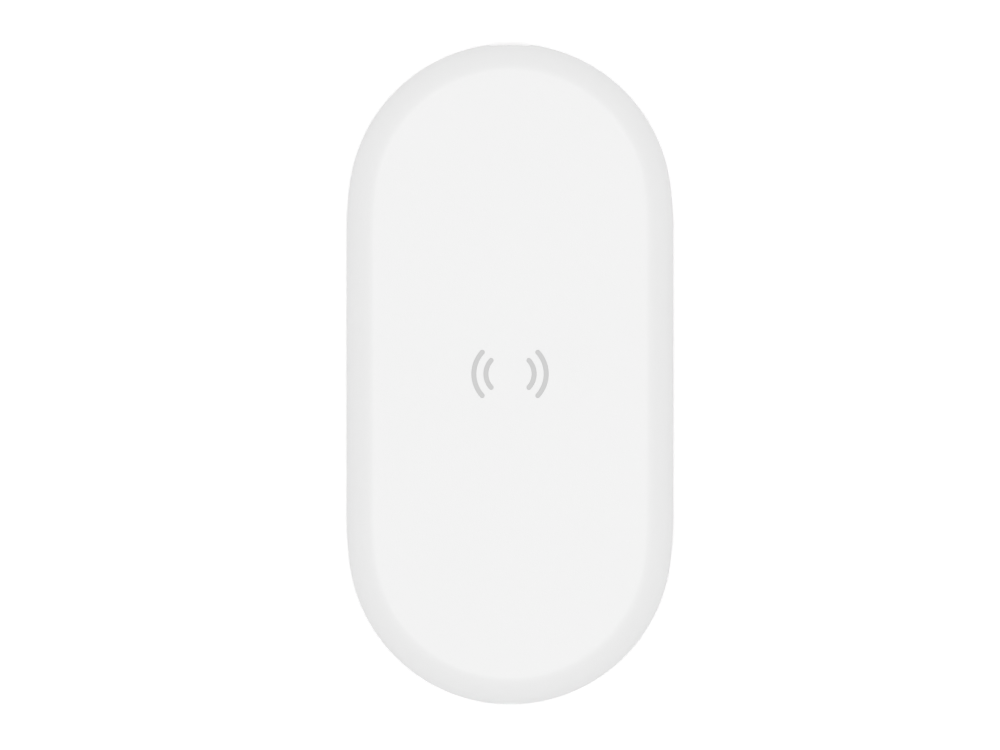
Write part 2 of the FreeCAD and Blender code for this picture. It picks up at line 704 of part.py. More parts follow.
def socket_tongue():
    """The plastic core: a block at the back, and the tongue that the plug slides over."""
    rear = SOCKET_BACK_Y + SOCKET_WALL
    core = bar(8.2, 2.4, 1.1, rear, rear + 1.45, SOCKET_Z)
    tongue = bar(6.69, 0.7, 0.2, rear + 1.45, SOCKET_MOUTH_Y - 0.6, SOCKET_Z)
    return join([core, tongue])


def socket_contacts():
    """Gold strips on both sides of the tongue, and their tails on the board."""
    made = []
    first_x = -CONTACT_PITCH * (CONTACTS_IN_ROW - 1) / 2
    for place in range(CONTACTS_IN_ROW):
        x = first_x + CONTACT_PITCH * place
        made.append(block(x, SOCKET_MOUTH_Y - 2.6, SOCKET_Z + 0.35, 0.25, 3.3, 0.05))
        made.append(block(x, SOCKET_MOUTH_Y - 2.6, SOCKET_Z - 0.4, 0.25, 3.3, 0.05))
        made.append(block(x, SOCKET_BACK_Y - 0.4, BOARD_TOP_Z, 0.25, 0.7, 0.12))
    return group(made)


# ---- the status light ----


def light_guide():
    """A milky bar that carries the light out through the front wall, flush with the cover."""
    shaft = bar(GUIDE_WIDTH, GUIDE_HEIGHT, 0.1, -LENGTH / 2 - 1, GUIDE_BACK_Y, LIGHT_Z)
    flush = shaft.common(top_cover_outside())
    flange = bar(5.6, 1.5, 0.4, -LENGTH / 2, -69.2, LIGHT_Z).common(top_cover_inside())
    return join([flush, flange])


def light_board():
    board = plate(16, 6, 0.8, LIGHT_BOARD_Z, LIGHT_BOARD_TOP_Z, 0, -63.4)
    removed = [
        post(side * LIGHT_PIN_X, LIGHT_PIN_Y, 0.85, LIGHT_BOARD_Z, LIGHT_BOARD_TOP_Z)
        for side in (-1, 1)
    ]
    hole = LIGHT_WIRE_DIAMETER / 2 + 0.15
    removed += [
        post(x, LIGHT_WIRE_Y, hole, LIGHT_BOARD_Z, LIGHT_BOARD_TOP_Z) for x, _ in LIGHT_WIRES
    ]
    return board.cut(removed)


def status_light():
    return block(0, -65.6, LIGHT_BOARD_TOP_Z, 3.0, 1.2, 1.0)


def light_wires():
    wires = []
    for start_x, run_x in LIGHT_WIRES:
        points = [
            Vector(start_x, LIGHT_WIRE_Y, LIGHT_BOARD_TOP_Z),
            Vector(start_x, LIGHT_WIRE_Y, LIGHT_WIRE_RUN_Z),
            Vector(start_x, -53.0 - start_x, LIGHT_WIRE_RUN_Z),
            Vector(run_x, -47.0 - start_x, LIGHT_WIRE_RUN_Z),
            Vector(run_x, LEAD_END_Y, LIGHT_WIRE_RUN_Z),
            Vector(run_x, LEAD_END_Y, BOARD_TOP_Z),
        ]
        wires.append(wire_through(points, LIGHT_WIRE_DIAMETER, 0.4))
    return group(wires)


# ---- every sub-part, by name ----


def sub_parts():
    return {
        "top_cover": top_cover(),
        "charge_mark": charge_mark(),
        "bottom_cover": bottom_cover(),
        "foot_ring": foot_ring(),
        "foot_tape": foot_tape(),
        "housing_screws": housing_screws(),
        "coil_tray": coil_tray(),
        "tray_screws": tray_screws(),
        "ferrite_tape": film(55.0, 95.0, TRAY_TOP_Z),
        "ferrite_plate": ferrite_plate(),
        "coil_tape": film(52.6, 94.0, FERRITE_TOP_Z),
        "coil_front": coil(-COIL_SPACING, LOWER_COIL_Z, COIL_LEADS[0][0]),
        "coil_rear": coil(COIL_SPACING, LOWER_COIL_Z, COIL_LEADS[2][0]),
        "coil_film": film(53.0, 46.0, UPPER_COIL_Z - TAPE_THICKNESS),
        "coil_middle": coil(0, UPPER_COIL_Z, COIL_LEADS[1][0]),
        "coil_foam": coil_foam(),
        "coil_leads": coil_leads(),
        "thermistor": thermistor(),
        "thermistor_leads": thermistor_leads(),
        "ballast_plate": ballast_plate(),
        "ballast_tape": ballast_tape(),
        "main_board": main_board(),
        "board_screws": board_screws(),
        "solder_joints": solder_joints(),
        "control_chip": chips([(0, 60.8)], 6.0, 6.0, 0.9, 0.1),
        "protocol_chip": chips([(-5.3, 58.9)], 3.0, 3.0, 0.75, 0.08),
        "bridge_transistors": chips(BRIDGE_TRANSISTORS, 3.3, 3.3, 0.9, 0.1),
        "coil_switches": coil_switches(),
        "power_inductor": power_inductor(),
        "resonance_capacitors": chips(RESONANCE_CAPACITORS, 3.2, 2.5, 2.0),
        "input_capacitors": chips(INPUT_CAPACITORS, 1.6, 3.2, 1.6),
        "bypass_capacitors": chips(BYPASS_CAPACITORS, 1.0, 0.5, 0.5),
        "small_resistors": chips(SMALL_RESISTORS, 1.0, 0.5, 0.35),
        "shunt_resistor": chips([(-14.4, 61.0)], 1.6, 3.2, 0.6),
        "crystal": chips([(4.6, 58.4)], 2.0, 1.6, 0.6),
        "socket_shell": socket_shell(),
        "socket_tongue": socket_tongue(),
        "socket_contacts": socket_contacts(),
        "light_guide": light_guide(),
        "light_board": light_board(),
        "status_light": status_light(),
        "light_wires": light_wires(),
    }


def main():
    os.makedirs("parts", exist_ok=True)
    for name, shape in sub_parts().items():
        shape.exportStep(f"parts/{name}.step")
        print(f"{name}: {len(shape.Solids)} solid(s), {shape.Volume:.1f} mm3, valid {shape.isValid()}")


main()
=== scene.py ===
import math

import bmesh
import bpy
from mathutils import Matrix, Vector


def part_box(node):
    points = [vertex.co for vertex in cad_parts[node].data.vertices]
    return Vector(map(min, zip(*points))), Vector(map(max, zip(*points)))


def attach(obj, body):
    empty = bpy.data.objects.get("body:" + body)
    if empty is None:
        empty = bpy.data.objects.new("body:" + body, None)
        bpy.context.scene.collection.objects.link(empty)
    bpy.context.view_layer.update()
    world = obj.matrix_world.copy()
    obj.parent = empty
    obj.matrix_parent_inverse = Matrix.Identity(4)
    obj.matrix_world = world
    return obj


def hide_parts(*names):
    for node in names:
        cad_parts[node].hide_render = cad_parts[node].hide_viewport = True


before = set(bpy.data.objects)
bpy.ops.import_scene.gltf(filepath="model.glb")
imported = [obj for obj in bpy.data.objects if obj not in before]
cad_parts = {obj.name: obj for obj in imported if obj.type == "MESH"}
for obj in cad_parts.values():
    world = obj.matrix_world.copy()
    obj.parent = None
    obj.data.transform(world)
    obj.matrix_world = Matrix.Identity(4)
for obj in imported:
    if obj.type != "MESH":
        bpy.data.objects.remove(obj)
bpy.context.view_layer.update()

# A long, round-ended wireless charging pad, white and soft-edged.
#
# The covers, the foot ring and the coils follow one rule each, so a Geometry Nodes tree makes them from
# a section or from a few sizes. So does whatever repeats: the mark's bars, the screws and the board's
# parts. Sizes are in millimetres, and become metres where a mesh or a tree takes them.

MM = 0.001


def box_mm(node):
    """A CAD node's lowest and highest corners, in millimetres."""
    low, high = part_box(node)
    return low / MM, high / MM


def solids_of(node):
    """The middle and the size of each separate solid in a CAD node, in millimetres."""
    shape = bmesh.new()
    shape.from_mesh(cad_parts[node].data)
    bmesh.ops.remove_doubles(shape, verts=shape.verts, dist=0.001 * MM)
    left = set(shape.verts)
    found = []
    while left:
        waiting = [left.pop()]
        corners = []
        while waiting:
            vert = waiting.pop()
            corners.append(vert.co / MM)
            for edge in vert.link_edges:
                near = edge.other_vert(vert)
                if near in left:
                    left.remove(near)
                    waiting.append(near)
        low = Vector(map(min, zip(*corners)))
        high = Vector(map(max, zip(*corners)))
        found.append(((low + high) / 2, high - low))
    shape.free()
    return sorted(found, key=lambda solid: [round(v, 2) for v in solid[0]])


# ---- sizes that the frame gives ----

cover_low, cover_high = box_mm("top_cover")
under_low, _ = box_mm("bottom_cover")
ring_low, ring_high = box_mm("foot_ring")
socket_low, socket_high = box_mm("socket_shell")

LENGTH = -2 * under_low.y
WIDTH = 2 * cover_high.x
HEIGHT = cover_high.z
UPPER_RIM = cover_low.z
UNDERSIDE = under_low.z
FOOT_INSET = WIDTH / 2 - ring_high.x
SOCKET_Z = (socket_low.z + socket_high.z) / 2

# ---- the outline: round ends, straight sides, and a flatter arc where they meet ----

TIP_RADIUS = 35.6
SIDE_RADIUS = 85.0
TIP_Y = LENGTH / 2 - TIP_RADIUS
SIDE_X = WIDTH / 2 - SIDE_RADIUS
SIDE_Y = TIP_Y - math.sqrt((SIDE_RADIUS - TIP_RADIUS) ** 2 - SIDE_X**2)
JOIN_ANGLE = math.atan2(TIP_Y - SIDE_Y, -SIDE_X)
STEPS_AROUND = 320

# ---- the covers' walls: insets from the outline, and heights over the table ----

WALL = 1.8
SKIN = 1.6  # the roof and the floor
SEAM = 0.3
LOWER_RIM = UPPER_RIM - SEAM
FLOOR = UNDERSIDE + SKIN
ROOF = HEIGHT - SKIN
ROLL_WIDTH = 6.2
ROLL_PULLS = (1.8, 2.4)  # how long the rolled edge runs upright at the rim, and level at the flat
INNER_ROLL_PULLS = (0.6, 2.6)
UNDER_ROLL_WIDTH = 5.0
UNDER_ROLL_PULLS = (1.7, 2.8)
UNDER_INNER_ROLL_WIDTH = 3.2
UNDER_INNER_ROLL_PULLS = (0.8, 1.8)
TONGUE_INSET = 1.05  # the bottom cover's tongue stands in the top cover's rebate
TONGUE_TOP = 4.75
REBATE_INSET = 0.95
REBATE_TOP = 4.95
FOOT_CLEARANCE = 0.1
GROOVE_INSET = FOOT_INSET - FOOT_CLEARANCE  # the groove that holds the foot ring
GROOVE_WIDTH = 6.0
GROOVE_TOP = 1.5


# ---- node trees ----


class Tree:
    """A node tree being built: it adds nodes, feeds their sockets and does sums."""

    def __init__(self, tree):
        self.tree = tree

    def add(self, kind, feeds=None, **settings):
        made = self.tree.nodes.new(kind)
        for name, value in settings.items():
            setattr(made, name, value)
        for socket, value in (feeds or {}).items():
            self.feed(made.inputs[socket], value)
        return made

    def feed(self, socket, value):
        if isinstance(value, bpy.types.Node):
            value = value.outputs[0]
        if isinstance(value, bpy.types.NodeSocket):
            self.tree.links.new(value, socket)
        else:
            socket.default_value = value

    def sum(self, operation, *values):
        made = self.add("ShaderNodeMath", dict(enumerate(values)), operation=operation)
        return made.outputs[0]

    def times(self, value, factor):
        return self.sum("MULTIPLY", value, factor)

    def times_plus(self, value, factor, more):
        return self.sum("MULTIPLY_ADD", value, factor, more)

    def plus(self, value, more):
        return self.sum("ADD", value, more)

    def minus(self, value, less):
        return self.sum("SUBTRACT", value, less)

    def vector(self, operation, *values):
        return self.add("ShaderNodeVectorMath", dict(enumerate(values)), operation=operation).outputs[0]

    def join_axes(self, x=0.0, y=0.0, z=0.0):
        return self.add("ShaderNodeCombineXYZ", {0: x, 1: y, 2: z}).outputs[0]

    def axes(self, vector):
        return self.add("ShaderNodeSeparateXYZ", {0: vector}).outputs

    def pick(self, choice, if_false, if_true):
        feeds = {0: choice, 1: if_false, 2: if_true}
        return self.add("GeometryNodeSwitch", feeds, input_type="FLOAT").outputs[0]

    def more(self, value, limit):
        """Whether a value is over a limit."""
        return self.add("FunctionNodeCompare", {0: value, 1: limit}, operation="GREATER_THAN").outputs[0]


class ShapeTree(Tree):
    """A Geometry Nodes tree with named inputs."""

    def __init__(self, name, **sizes):
        super().__init__(bpy.data.node_groups.new(name, "GeometryNodeTree"))
        face = self.tree.interface
        face.new_socket("Geometry", in_out="OUTPUT", socket_type="NodeSocketGeometry")
        face.new_socket("Geometry", in_out="INPUT", socket_type="NodeSocketGeometry")
        for label, value in sizes.items():
            kind = "NodeSocketFloat"
            if isinstance(value, int):
                kind = "NodeSocketInt"
            elif isinstance(value, bpy.types.Material):
                kind = "NodeSocketMaterial"
            face.new_socket(label, in_out="INPUT", socket_type=kind)
        self.sizes = sizes
        self.given = self.tree.nodes.new("NodeGroupInput").outputs
        self.result = self.tree.nodes.new("NodeGroupOutput").inputs[0]

    def joined(self, *geometries):
        made = self.add("GeometryNodeJoinGeometry")
        for geometry in geometries:
            self.feed(made.inputs[0], geometry)
        return made

    def shifted(self, geometry, x=0.0, y=0.0, z=0.0, turn=0.0):
        moves = {"Translation": self.join_axes(x, y, z), "Rotation": self.join_axes(0, 0, turn)}
        return self.add("GeometryNodeTransform", {0: geometry, **moves})

    def keep(self, geometry, kind, value):
        """Captures a value on a geometry. Gives the geometry, and the value as it was there."""
        made = self.add("GeometryNodeCaptureAttribute", {0: geometry})
        made.capture_items.new(kind, "kept")
        self.feed(made.inputs[1], value)
        return made.outputs[0], made.outputs[1]

    def swept(self, section, steps):
        """A section carried round a unit circle. Gives the skin, with the way outwards and the section's
        own place at each point, for a rule to say where the point goes."""
        place = self.add("GeometryNodeInputPosition")
        circle = self.add("GeometryNodeCurvePrimitiveCircle", {"Resolution": steps, "Radius": 1.0})
        half_step = self.sum("DIVIDE", math.pi, steps)
        rail, outwards = self.keep(self.shifted(circle, turn=half_step), "VECTOR", place)
        profile, spot = self.keep(self.add("GeometryNodeMeshToCurve", {0: section}), "VECTOR", place)
        skin = self.add("GeometryNodeCurveToMesh", {0: rail, 1: profile})
        return skin, self.axes(outwards), self.axes(spot)

    def soft_block(self, x, y, z, radius):
        """A block with rounded edges, its middle at the origin."""
        feeds = {"Size": (2, 2, 2), "Vertices X": 4, "Vertices Y": 4, "Vertices Z": 4}
        cube = self.add("GeometryNodeMeshCube", feeds)
        place = self.add("GeometryNodeInputPosition")
        side = self.vector("SIGN", place)
        outermost = self.vector("ADD", self.vector("ABSOLUTE", place), (0.5, 0.5, 0.5))
        reach = self.vector("MULTIPLY", side, self.vector("FLOOR", outermost))
        half = [self.times_plus(size, 0.5, self.times(radius, -1.0)) for size in (x, y, z)]
        core = self.vector("MULTIPLY", side, self.join_axes(*half))
        outwards = self.vector("NORMALIZE", reach)
        round_off = self.vector("MULTIPLY", outwards, self.join_axes(radius, radius, radius))
        spot = self.vector("ADD", core, round_off)
        return self.add("GeometryNodeSetPosition", {0: cube, "Position": spot})

    def cut(self, whole, *tools):
        settings = dict(operation="DIFFERENCE", solver="EXACT")
        made = self.add("GeometryNodeMeshBoolean", {"Mesh 1": whole}, **settings)
        for tool in tools:
            self.feed(made.inputs["Mesh 2"], tool)
        return made.outputs[0]

    def close(self, geometry, finish):
        """Ends the tree: merged seams, real instances and the finish."""
        real = self.add("GeometryNodeRealizeInstances", {0: geometry})
        merged = self.add("GeometryNodeMergeByDistance", {"Geometry": real, "Distance": 0.001 * MM})
        finished = self.add("GeometryNodeSetMaterial", {"Geometry": merged, "Material": finish})
        self.feed(self.result, finished)

    def grow(self, name, base=None):
        """Runs the tree on a base mesh, and gives the result as a plain object."""
        maker = bpy.data.objects.new(name, base or bpy.data.meshes.new(name))
        bpy.context.scene.collection.objects.link(maker)
        modifier = maker.modifiers.new("shape", "NODES")
        modifier.node_group = self.tree
        for item in self.tree.interface.items_tree:
            if item.in_out == "INPUT" and item.name in self.sizes:
                modifier[item.identifier] = self.sizes[item.name]
        return baked(maker, name)


def baked(maker, name):
    """An object whose modifiers have become its mesh."""
    depsgraph = bpy.context.evaluated_depsgraph_get()
    mesh = bpy.data.meshes.new_from_object(
        maker.evaluated_get(depsgraph), preserve_all_data_layers=True, depsgraph=depsgraph
    )
    bpy.data.objects.remove(maker)
    mesh.name = name
    piece = bpy.data.objects.new(name, mesh)
    bpy.context.scene.collection.objects.link(piece)
    face_outwards(piece)
    return piece


def face_outwards(piece):
    """Turns a closed piece's faces outwards, if the rule has made them the other way round."""
    shape = bmesh.new()
    shape.from_mesh(piece.data)
    if shape.calc_volume(signed=True) < 0:
        bmesh.ops.reverse_faces(shape, faces=shape.faces)
        shape.to_mesh(piece.data)
    shape.free()


def soften(piece, angle=35):
    """Smooth shading, with real corners kept crisp."""
    piece.data.shade_smooth()
    piece.data.set_sharp_from_angle(angle=math.radians(angle))
    return piece


def fit(piece, slot, *nodes):
    """Puts a finished piece on the pad in place of its CAD nodes."""
    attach(piece, "root")
    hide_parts(*nodes)
    return piece


# ---- finishes ----


class Finish(Tree):
    """A material: one Principled surface, with its grain and colour from nodes."""

    def __init__(self, name, roughness=0.5, metal=0.0, **surface):
        self.material = bpy.data.materials.new(name)
        self.material.use_nodes = True
        super().__init__(self.material.node_tree)
        self.shader = self.tree.nodes["Principled BSDF"]
        self.set("Metallic", metal)
        self.set("Roughness", roughness)
        for socket, value in surface.items():
            self.set(socket.replace("_", " "), value)
        self.place = self.add("ShaderNodeTexCoord").outputs["Object"]

    def set(self, socket, value):
        self.feed(self.shader.inputs[socket], value)

    def noise(self, size, detail=2.0, place=None, roughness=0.5):
        """Noise whose lumps are about size millimetres across, from 0 to 1."""
        lumps = {"Scale": 1 / (size * MM), "Detail": detail, "Roughness": roughness}
        return self.add("ShaderNodeTexNoise", {"Vector": place or self.place, **lumps}).outputs["Fac"]

    def blend(self, share, first, second):
        """A colour between two, by share."""
        made = self.add("ShaderNodeMix", {0: share, 6: first, 7: second}, data_type="RGBA")
        return made.outputs[2]

    def spread(self, value, low, high, to_low=0.0, to_high=1.0):
        """A value stretched from one range to another, and kept inside it."""
        feeds = {0: value, 1: low, 2: high, 3: to_low, 4: to_high}
        return self.add("ShaderNodeMapRange", feeds).outputs[0]

    def relief(self, height, depth):
        """Bump from a height of 0 to 1 that stands for depth millimetres."""
        feeds = {"Height": height, "Distance": depth * MM, "Strength": 1.0}
        self.set("Normal", self.add("ShaderNodeBump", feeds))


def grey(level):
    return (level, level, level, 1.0)


def moulded(name, colour, grain=0.16, depth=0.004, roughness=0.42, drift=0.012, **surface):
    """Moulded plastic: a spark-eroded grain, a slow drift of colour and a little uneven gloss."""
    made = Finish(name, **surface)
    slow = made.noise(22.0, 3.0)
    darker = tuple(c * (1 - drift) for c in colour[:3]) + (1.0,)
    made.set("Base Color", made.blend(slow, darker, colour))
    fine = made.noise(grain, 3.0, roughness=0.6)
    made.set("Roughness", made.spread(fine, 0.3, 0.7, roughness - 0.04, roughness + 0.05))
    made.relief(fine, depth)
    return made.material


def metal(name, colour, roughness=0.3, brush=(1, 1, 1), grain=0.05, depth=0.002):
    """Plated or drawn metal: fine lines along its working direction, and a mottled gloss."""
    made = Finish(name, metal=1.0)
    stretched = made.add("ShaderNodeMapping", {"Vector": made.place, "Scale": brush}).outputs[0]
    lines = made.noise(grain, 3.0, stretched)
    patches = made.noise(1.6, 3.0)
    dull = tuple(c * 0.92 for c in colour[:3]) + (1.0,)
    made.set("Base Color", made.blend(patches, dull, colour))
    wear = made.plus(lines, patches)
    made.set("Roughness", made.spread(wear, 0.6, 1.4, roughness * 0.85, roughness * 1.2))
    made.relief(lines, depth)
    return made.material


cover_grain = dict(grain=0.22, depth=0.016, roughness=0.5, Specular_IOR_Level=0.4)
white_cover = moulded("white_cover", grey(0.731), **cover_grain)
mark_ink = moulded("mark_ink", grey(0.485), grain=0.09, depth=0.002, roughness=0.5)
foot_silicone = moulded("foot_silicone", grey(0.62), grain=0.3, depth=0.006, roughness=0.62)
milky_guide = moulded("milky_guide", (0.84, 0.86, 0.86, 1), grain=0.5, depth=0.001, roughness=0.22)
tray_black = moulded("tray_black", grey(0.035), roughness=0.5)
tape_film = moulded("tape_film", (0.72, 0.66, 0.50, 1), grain=0.4, depth=0.002, roughness=0.35)
foam_black = moulded("foam_black", grey(0.03), grain=0.25, depth=0.06, roughness=0.9)
ferrite_grey = moulded("ferrite_grey", grey(0.045), grain=0.1, depth=0.006, roughness=0.48, drift=0.3)
chip_black = moulded("chip_black", grey(0.022), grain=0.06, depth=0.003, roughness=0.55)
tan = (0.42, 0.27, 0.16, 1)
ceramic_tan = moulded("ceramic_tan", tan, grain=0.08, depth=0.003, roughness=0.4, drift=0.2)
resistor_black = moulded("resistor_black", grey(0.02), grain=0.1, depth=0.001, roughness=0.25)
pressed_powder = moulded("pressed_powder", grey(0.07), grain=0.12, depth=0.01, roughness=0.6, drift=0.3)
epoxy_drop = moulded("epoxy_drop", grey(0.015), grain=0.8, depth=0.004, roughness=0.15)
red_sleeve = moulded("red_sleeve", (0.42, 0.03, 0.02, 1), grain=0.4, depth=0.002, roughness=0.4)
black_sleeve = moulded("black_sleeve", grey(0.02), grain=0.4, depth=0.002, roughness=0.4)
white_sleeve = moulded("white_sleeve", grey(0.75), grain=0.4, depth=0.002, roughness=0.4)
black_core = moulded("black_core", grey(0.03), roughness=0.45)
light_package = moulded("light_package", (0.86, 0.82, 0.62, 1), roughness=0.3)
black_zinc = metal("black_zinc", grey(0.16), 0.35)
ballast_zinc = metal("ballast_zinc", grey(0.55), 0.35, (1, 0.05, 1), 0.12)
bright_tin = metal("bright_tin", grey(0.80), 0.22)
nickel_shell = metal("nickel_shell", (0.70, 0.69, 0.66, 1), 0.26, (1, 0.08, 1))
contact_gold = metal("contact_gold", (0.90, 0.62, 0.22, 1), 0.24)


def circuit_board(name):
    """Green solder mask over copper: paler where a trace runs under it, with tinned rings round the vias,
    painted shade in the via holes, and bare glass cloth on the cut edges."""
    made = Finish(name)
    bricks = {"Scale": 1 / MM, "Brick Width": 3.1, "Row Height": 0.62}
    bricks.update({"Mortar Size": 0.11, "Mortar Smooth": 0.2})
    along = made.add("ShaderNodeTexBrick", {"Vector": made.place, **bricks}, offset=0.37).outputs["Fac"]
    quarter = made.add("ShaderNodeMapping", {"Vector": made.place, "Rotation": (0, 0, math.pi / 2)})
    across = made.add("ShaderNodeTexBrick", {"Vector": quarter, **bricks}, offset=0.29).outputs["Fac"]
    which = made.spread(made.noise(7.0, 1.0), 0.49, 0.5)
    trace = made.add("ShaderNodeMix", {0: which, 2: along, 3: across}).outputs[0]
    plane = made.spread(made.noise(9.0, 0.0), 0.58, 0.585)
    copper = made.sum("MAXIMUM", trace, plane)
    dots = {"Vector": made.place, "Scale": 1 / (2.6 * MM), "Randomness": 0.75}
    dots = made.add("ShaderNodeTexVoronoi", dots, voronoi_dimensions="2D").outputs["Distance"]
    ring = made.spread(dots, 0.105, 0.115, 1.0, 0.0)
    hole = made.spread(dots, 0.05, 0.06, 1.0, 0.0)
    upright = made.add("ShaderNodeNewGeometry").outputs["Normal"]
    face = made.spread(made.sum("ABSOLUTE", made.axes(upright)[2]), 0.5, 0.6)
    mask = made.blend(copper, (0.008, 0.10, 0.04, 1), (0.022, 0.20, 0.075, 1))
    tinned = made.blend(ring, mask, (0.74, 0.73, 0.70, 1))
    # painted shade: the via holes are only bumped in, and are coloured near-black for the shade inside
    # them
    mask_with_painted_hole_shade = made.blend(hole, tinned, (0.01, 0.012, 0.01, 1))
    cloth = made.blend(made.noise(0.3, 2.0), (0.34, 0.30, 0.16, 1), (0.46, 0.42, 0.24, 1))
    made.set("Base Color", made.blend(face, cloth, mask_with_painted_hole_shade))
    bare = made.times(made.minus(ring, hole), face)
    made.set("Metallic", bare)
    made.set("Roughness", made.spread(face, 0.0, 1.0, 0.7, 0.26))
    made.relief(made.times(made.minus(copper, hole), face), 0.03)
    return made.material


solder_mask = circuit_board("solder_mask")


def litz(name, strands=10, lay=9.0):
    """Twisted litz wire: round strands that wind along the wire, each a little lighter or darker, with
    painted shade darkening the grooves between the strands.
    """
    made = Finish(name, metal=1.0)
    wrap = made.add("ShaderNodeAttribute", attribute_name="wrap").outputs["Vector"]
    across, up, along = made.axes(wrap)
    round_it = made.times(made.sum("ARCTAN2", up, across), strands / (2 * math.pi))
    strand = made.times_plus(along, strands / (lay * MM), round_it)
    ridge = made.sum("ABSOLUTE", made.sum("SINE", made.times(strand, math.pi)))
    tone = made.noise(1.8, 2.0)
    copper = made.blend(tone, (0.46, 0.17, 0.07, 1), (0.66, 0.27, 0.11, 1))
    # painted shade: the grooves between the strands are blended to a dark copper, standing for the shade
    # that falls in them
    made.set("Base Color", made.blend(made.spread(ridge, 0.0, 0.6), (0.16, 0.055, 0.025, 1), copper))
    made.set("Roughness", made.spread(tone, 0.3, 0.7, 0.3, 0.42))
    made.relief(ridge, 0.05)
    return made.material


litz_copper = litz("litz_copper")
phosphor = moulded("phosphor", (0.82, 0.62, 0.10, 1), grain=0.2, depth=0.01, roughness=0.5)

NODES_OF_FINISH = (
    (white_cover, "top_cover", "bottom_cover"),
    (mark_ink, "charge_mark"),
    (foot_silicone, "foot_ring"),
    (tape_film, "foot_tape", "ferrite_tape", "coil_tape", "coil_film", "ballast_tape"),
    (black_zinc, "housing_screws", "tray_screws", "board_screws"),
    (tray_black, "coil_tray"),
    (ferrite_grey, "ferrite_plate"),
    (litz_copper, "coil_front", "coil_rear", "coil_middle"),
    (foam_black, "coil_foam"),
    (red_sleeve, "coil_leads"),
    (epoxy_drop, "thermistor"),
    (black_sleeve, "thermistor_leads"),
    (white_sleeve, "light_wires"),
    (ballast_zinc, "ballast_plate"),
    (solder_mask, "main_board", "light_board"),
    (bright_tin, "solder_joints", "crystal"),
    (chip_black, "control_chip", "protocol_chip", "bridge_transistors", "coil_switches"),
    (pressed_powder, "power_inductor"),
    (ceramic_tan, "resonance_capacitors", "input_capacitors", "bypass_capacitors"),
    (resistor_black, "small_resistors", "shunt_resistor"),
    (nickel_shell, "socket_shell"),
    (black_core, "socket_tongue"),
    (contact_gold, "socket_contacts"),
    (milky_guide, "light_guide"),
    (light_package, "status_light"),
)
for finish, *node_names in NODES_OF_FINISH:
    for node_name in node_names:
        node_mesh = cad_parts[node_name].data
        node_mesh.materials.clear()
        node_mesh.materials.append(finish)


# ---- sections: (inset from the outline, height) ----


def edge_curve(inset, rim, flat, roll, pulls, steps=22):
    """The covers' edge, from upright at the rim to level at the flat."""
    climb = flat - rim
    points = []
    for step in range(steps + 1):
        t = step / steps
        first = 3 * (1 - t) ** 2 * t
        second = 3 * (1 - t) * t**2
        across = second * (roll - pulls[1]) + t**3 * roll
        up = first * math.copysign(pulls[0], climb) + (second + t**3) * climb
        points.append((inset + across, rim + up))
    return points


def eased(points, radii, steps=4):
    """The same path with the named corners rounded. radii maps a corner's place to its radius."""
    path = []
    for place, (x, z) in enumerate(points):
        if place not in radii:
            path.append((x, z))
            continue
        corner = Vector((x, z))
        before = (Vector(points[place - 1]) - corner).normalized()
        after = (Vector(points[(place + 1) % len(points)]) - corner).normalized()
        half = before.angle(after) / 2
        reach = radii[place] / math.tan(half)
        centre = corner + (before + after).normalized() * (radii[place] / math.sin(half))
        start = corner + before * reach - centre
        finish = corner + after * reach - centre
        turn = start.angle_signed(finish)
        for step in range(steps + 1):
            at = start.copy()
            at.rotate(Matrix.Rotation(-turn * step / steps, 2))
            path.append(tuple(centre + at))
    return path


def section_mesh(name, points, closed=False):
    """A section as a line of vertices, for a tree to carry round the pad."""
    mesh = bpy.data.meshes.new(name)
    count = len(points)
    edges = [(n, (n + 1) % count) for n in range(count if closed else count - 1)]
    mesh.from_pydata([(x * MM, z * MM, 0) for x, z in points], edges, [])
    return mesh


def round_the_pad(name, points, finish, closed=False):
    """Carries a section round the pad's outline: the tree has the outline's rule."""
    tree = ShapeTree(
        name + "_rule",
        Steps=STEPS_AROUND,
        Tip_Radius=TIP_RADIUS * MM,
        Tip_Y=TIP_Y * MM,
        Side_Radius=SIDE_RADIUS * MM,
        Side_X=SIDE_X * MM,
        Side_Y=SIDE_Y * MM,
        Join_Cosine=math.cos(JOIN_ANGLE),
        Finish=finish,
    )
    given = tree.given
    skin, (nx, ny, _), (inset, height, _) = tree.swept(given["Geometry"], given["Steps"])
    on_side = tree.more(tree.sum("ABSOLUTE", nx), given["Join_Cosine"])
    centre_x = tree.pick(on_side, 0.0, tree.times(tree.sum("SIGN", nx), given["Side_X"]))
    centre_y = tree.pick(on_side, given["Tip_Y"], given["Side_Y"])
    radius = tree.minus(tree.pick(on_side, given["Tip_Radius"], given["Side_Radius"]), inset)
    x = tree.times_plus(nx, radius, centre_x)
    y = tree.times_plus(ny, radius, tree.times(tree.sum("SIGN", ny), centre_y))
    off_spine = tree.more(tree.minus(given["Tip_Radius"], inset), 0.01 * MM)
    spot = tree.join_axes(tree.times(x, off_spine), y, height)
    moved = tree.add("GeometryNodeSetPosition", {0: skin, "Position": spot})
    tree.close(moved, given["Finish"])
    return tree.grow(name, section_mesh(name, points, closed))


# ---- simple solids that are joined to the covers or cut from them ----


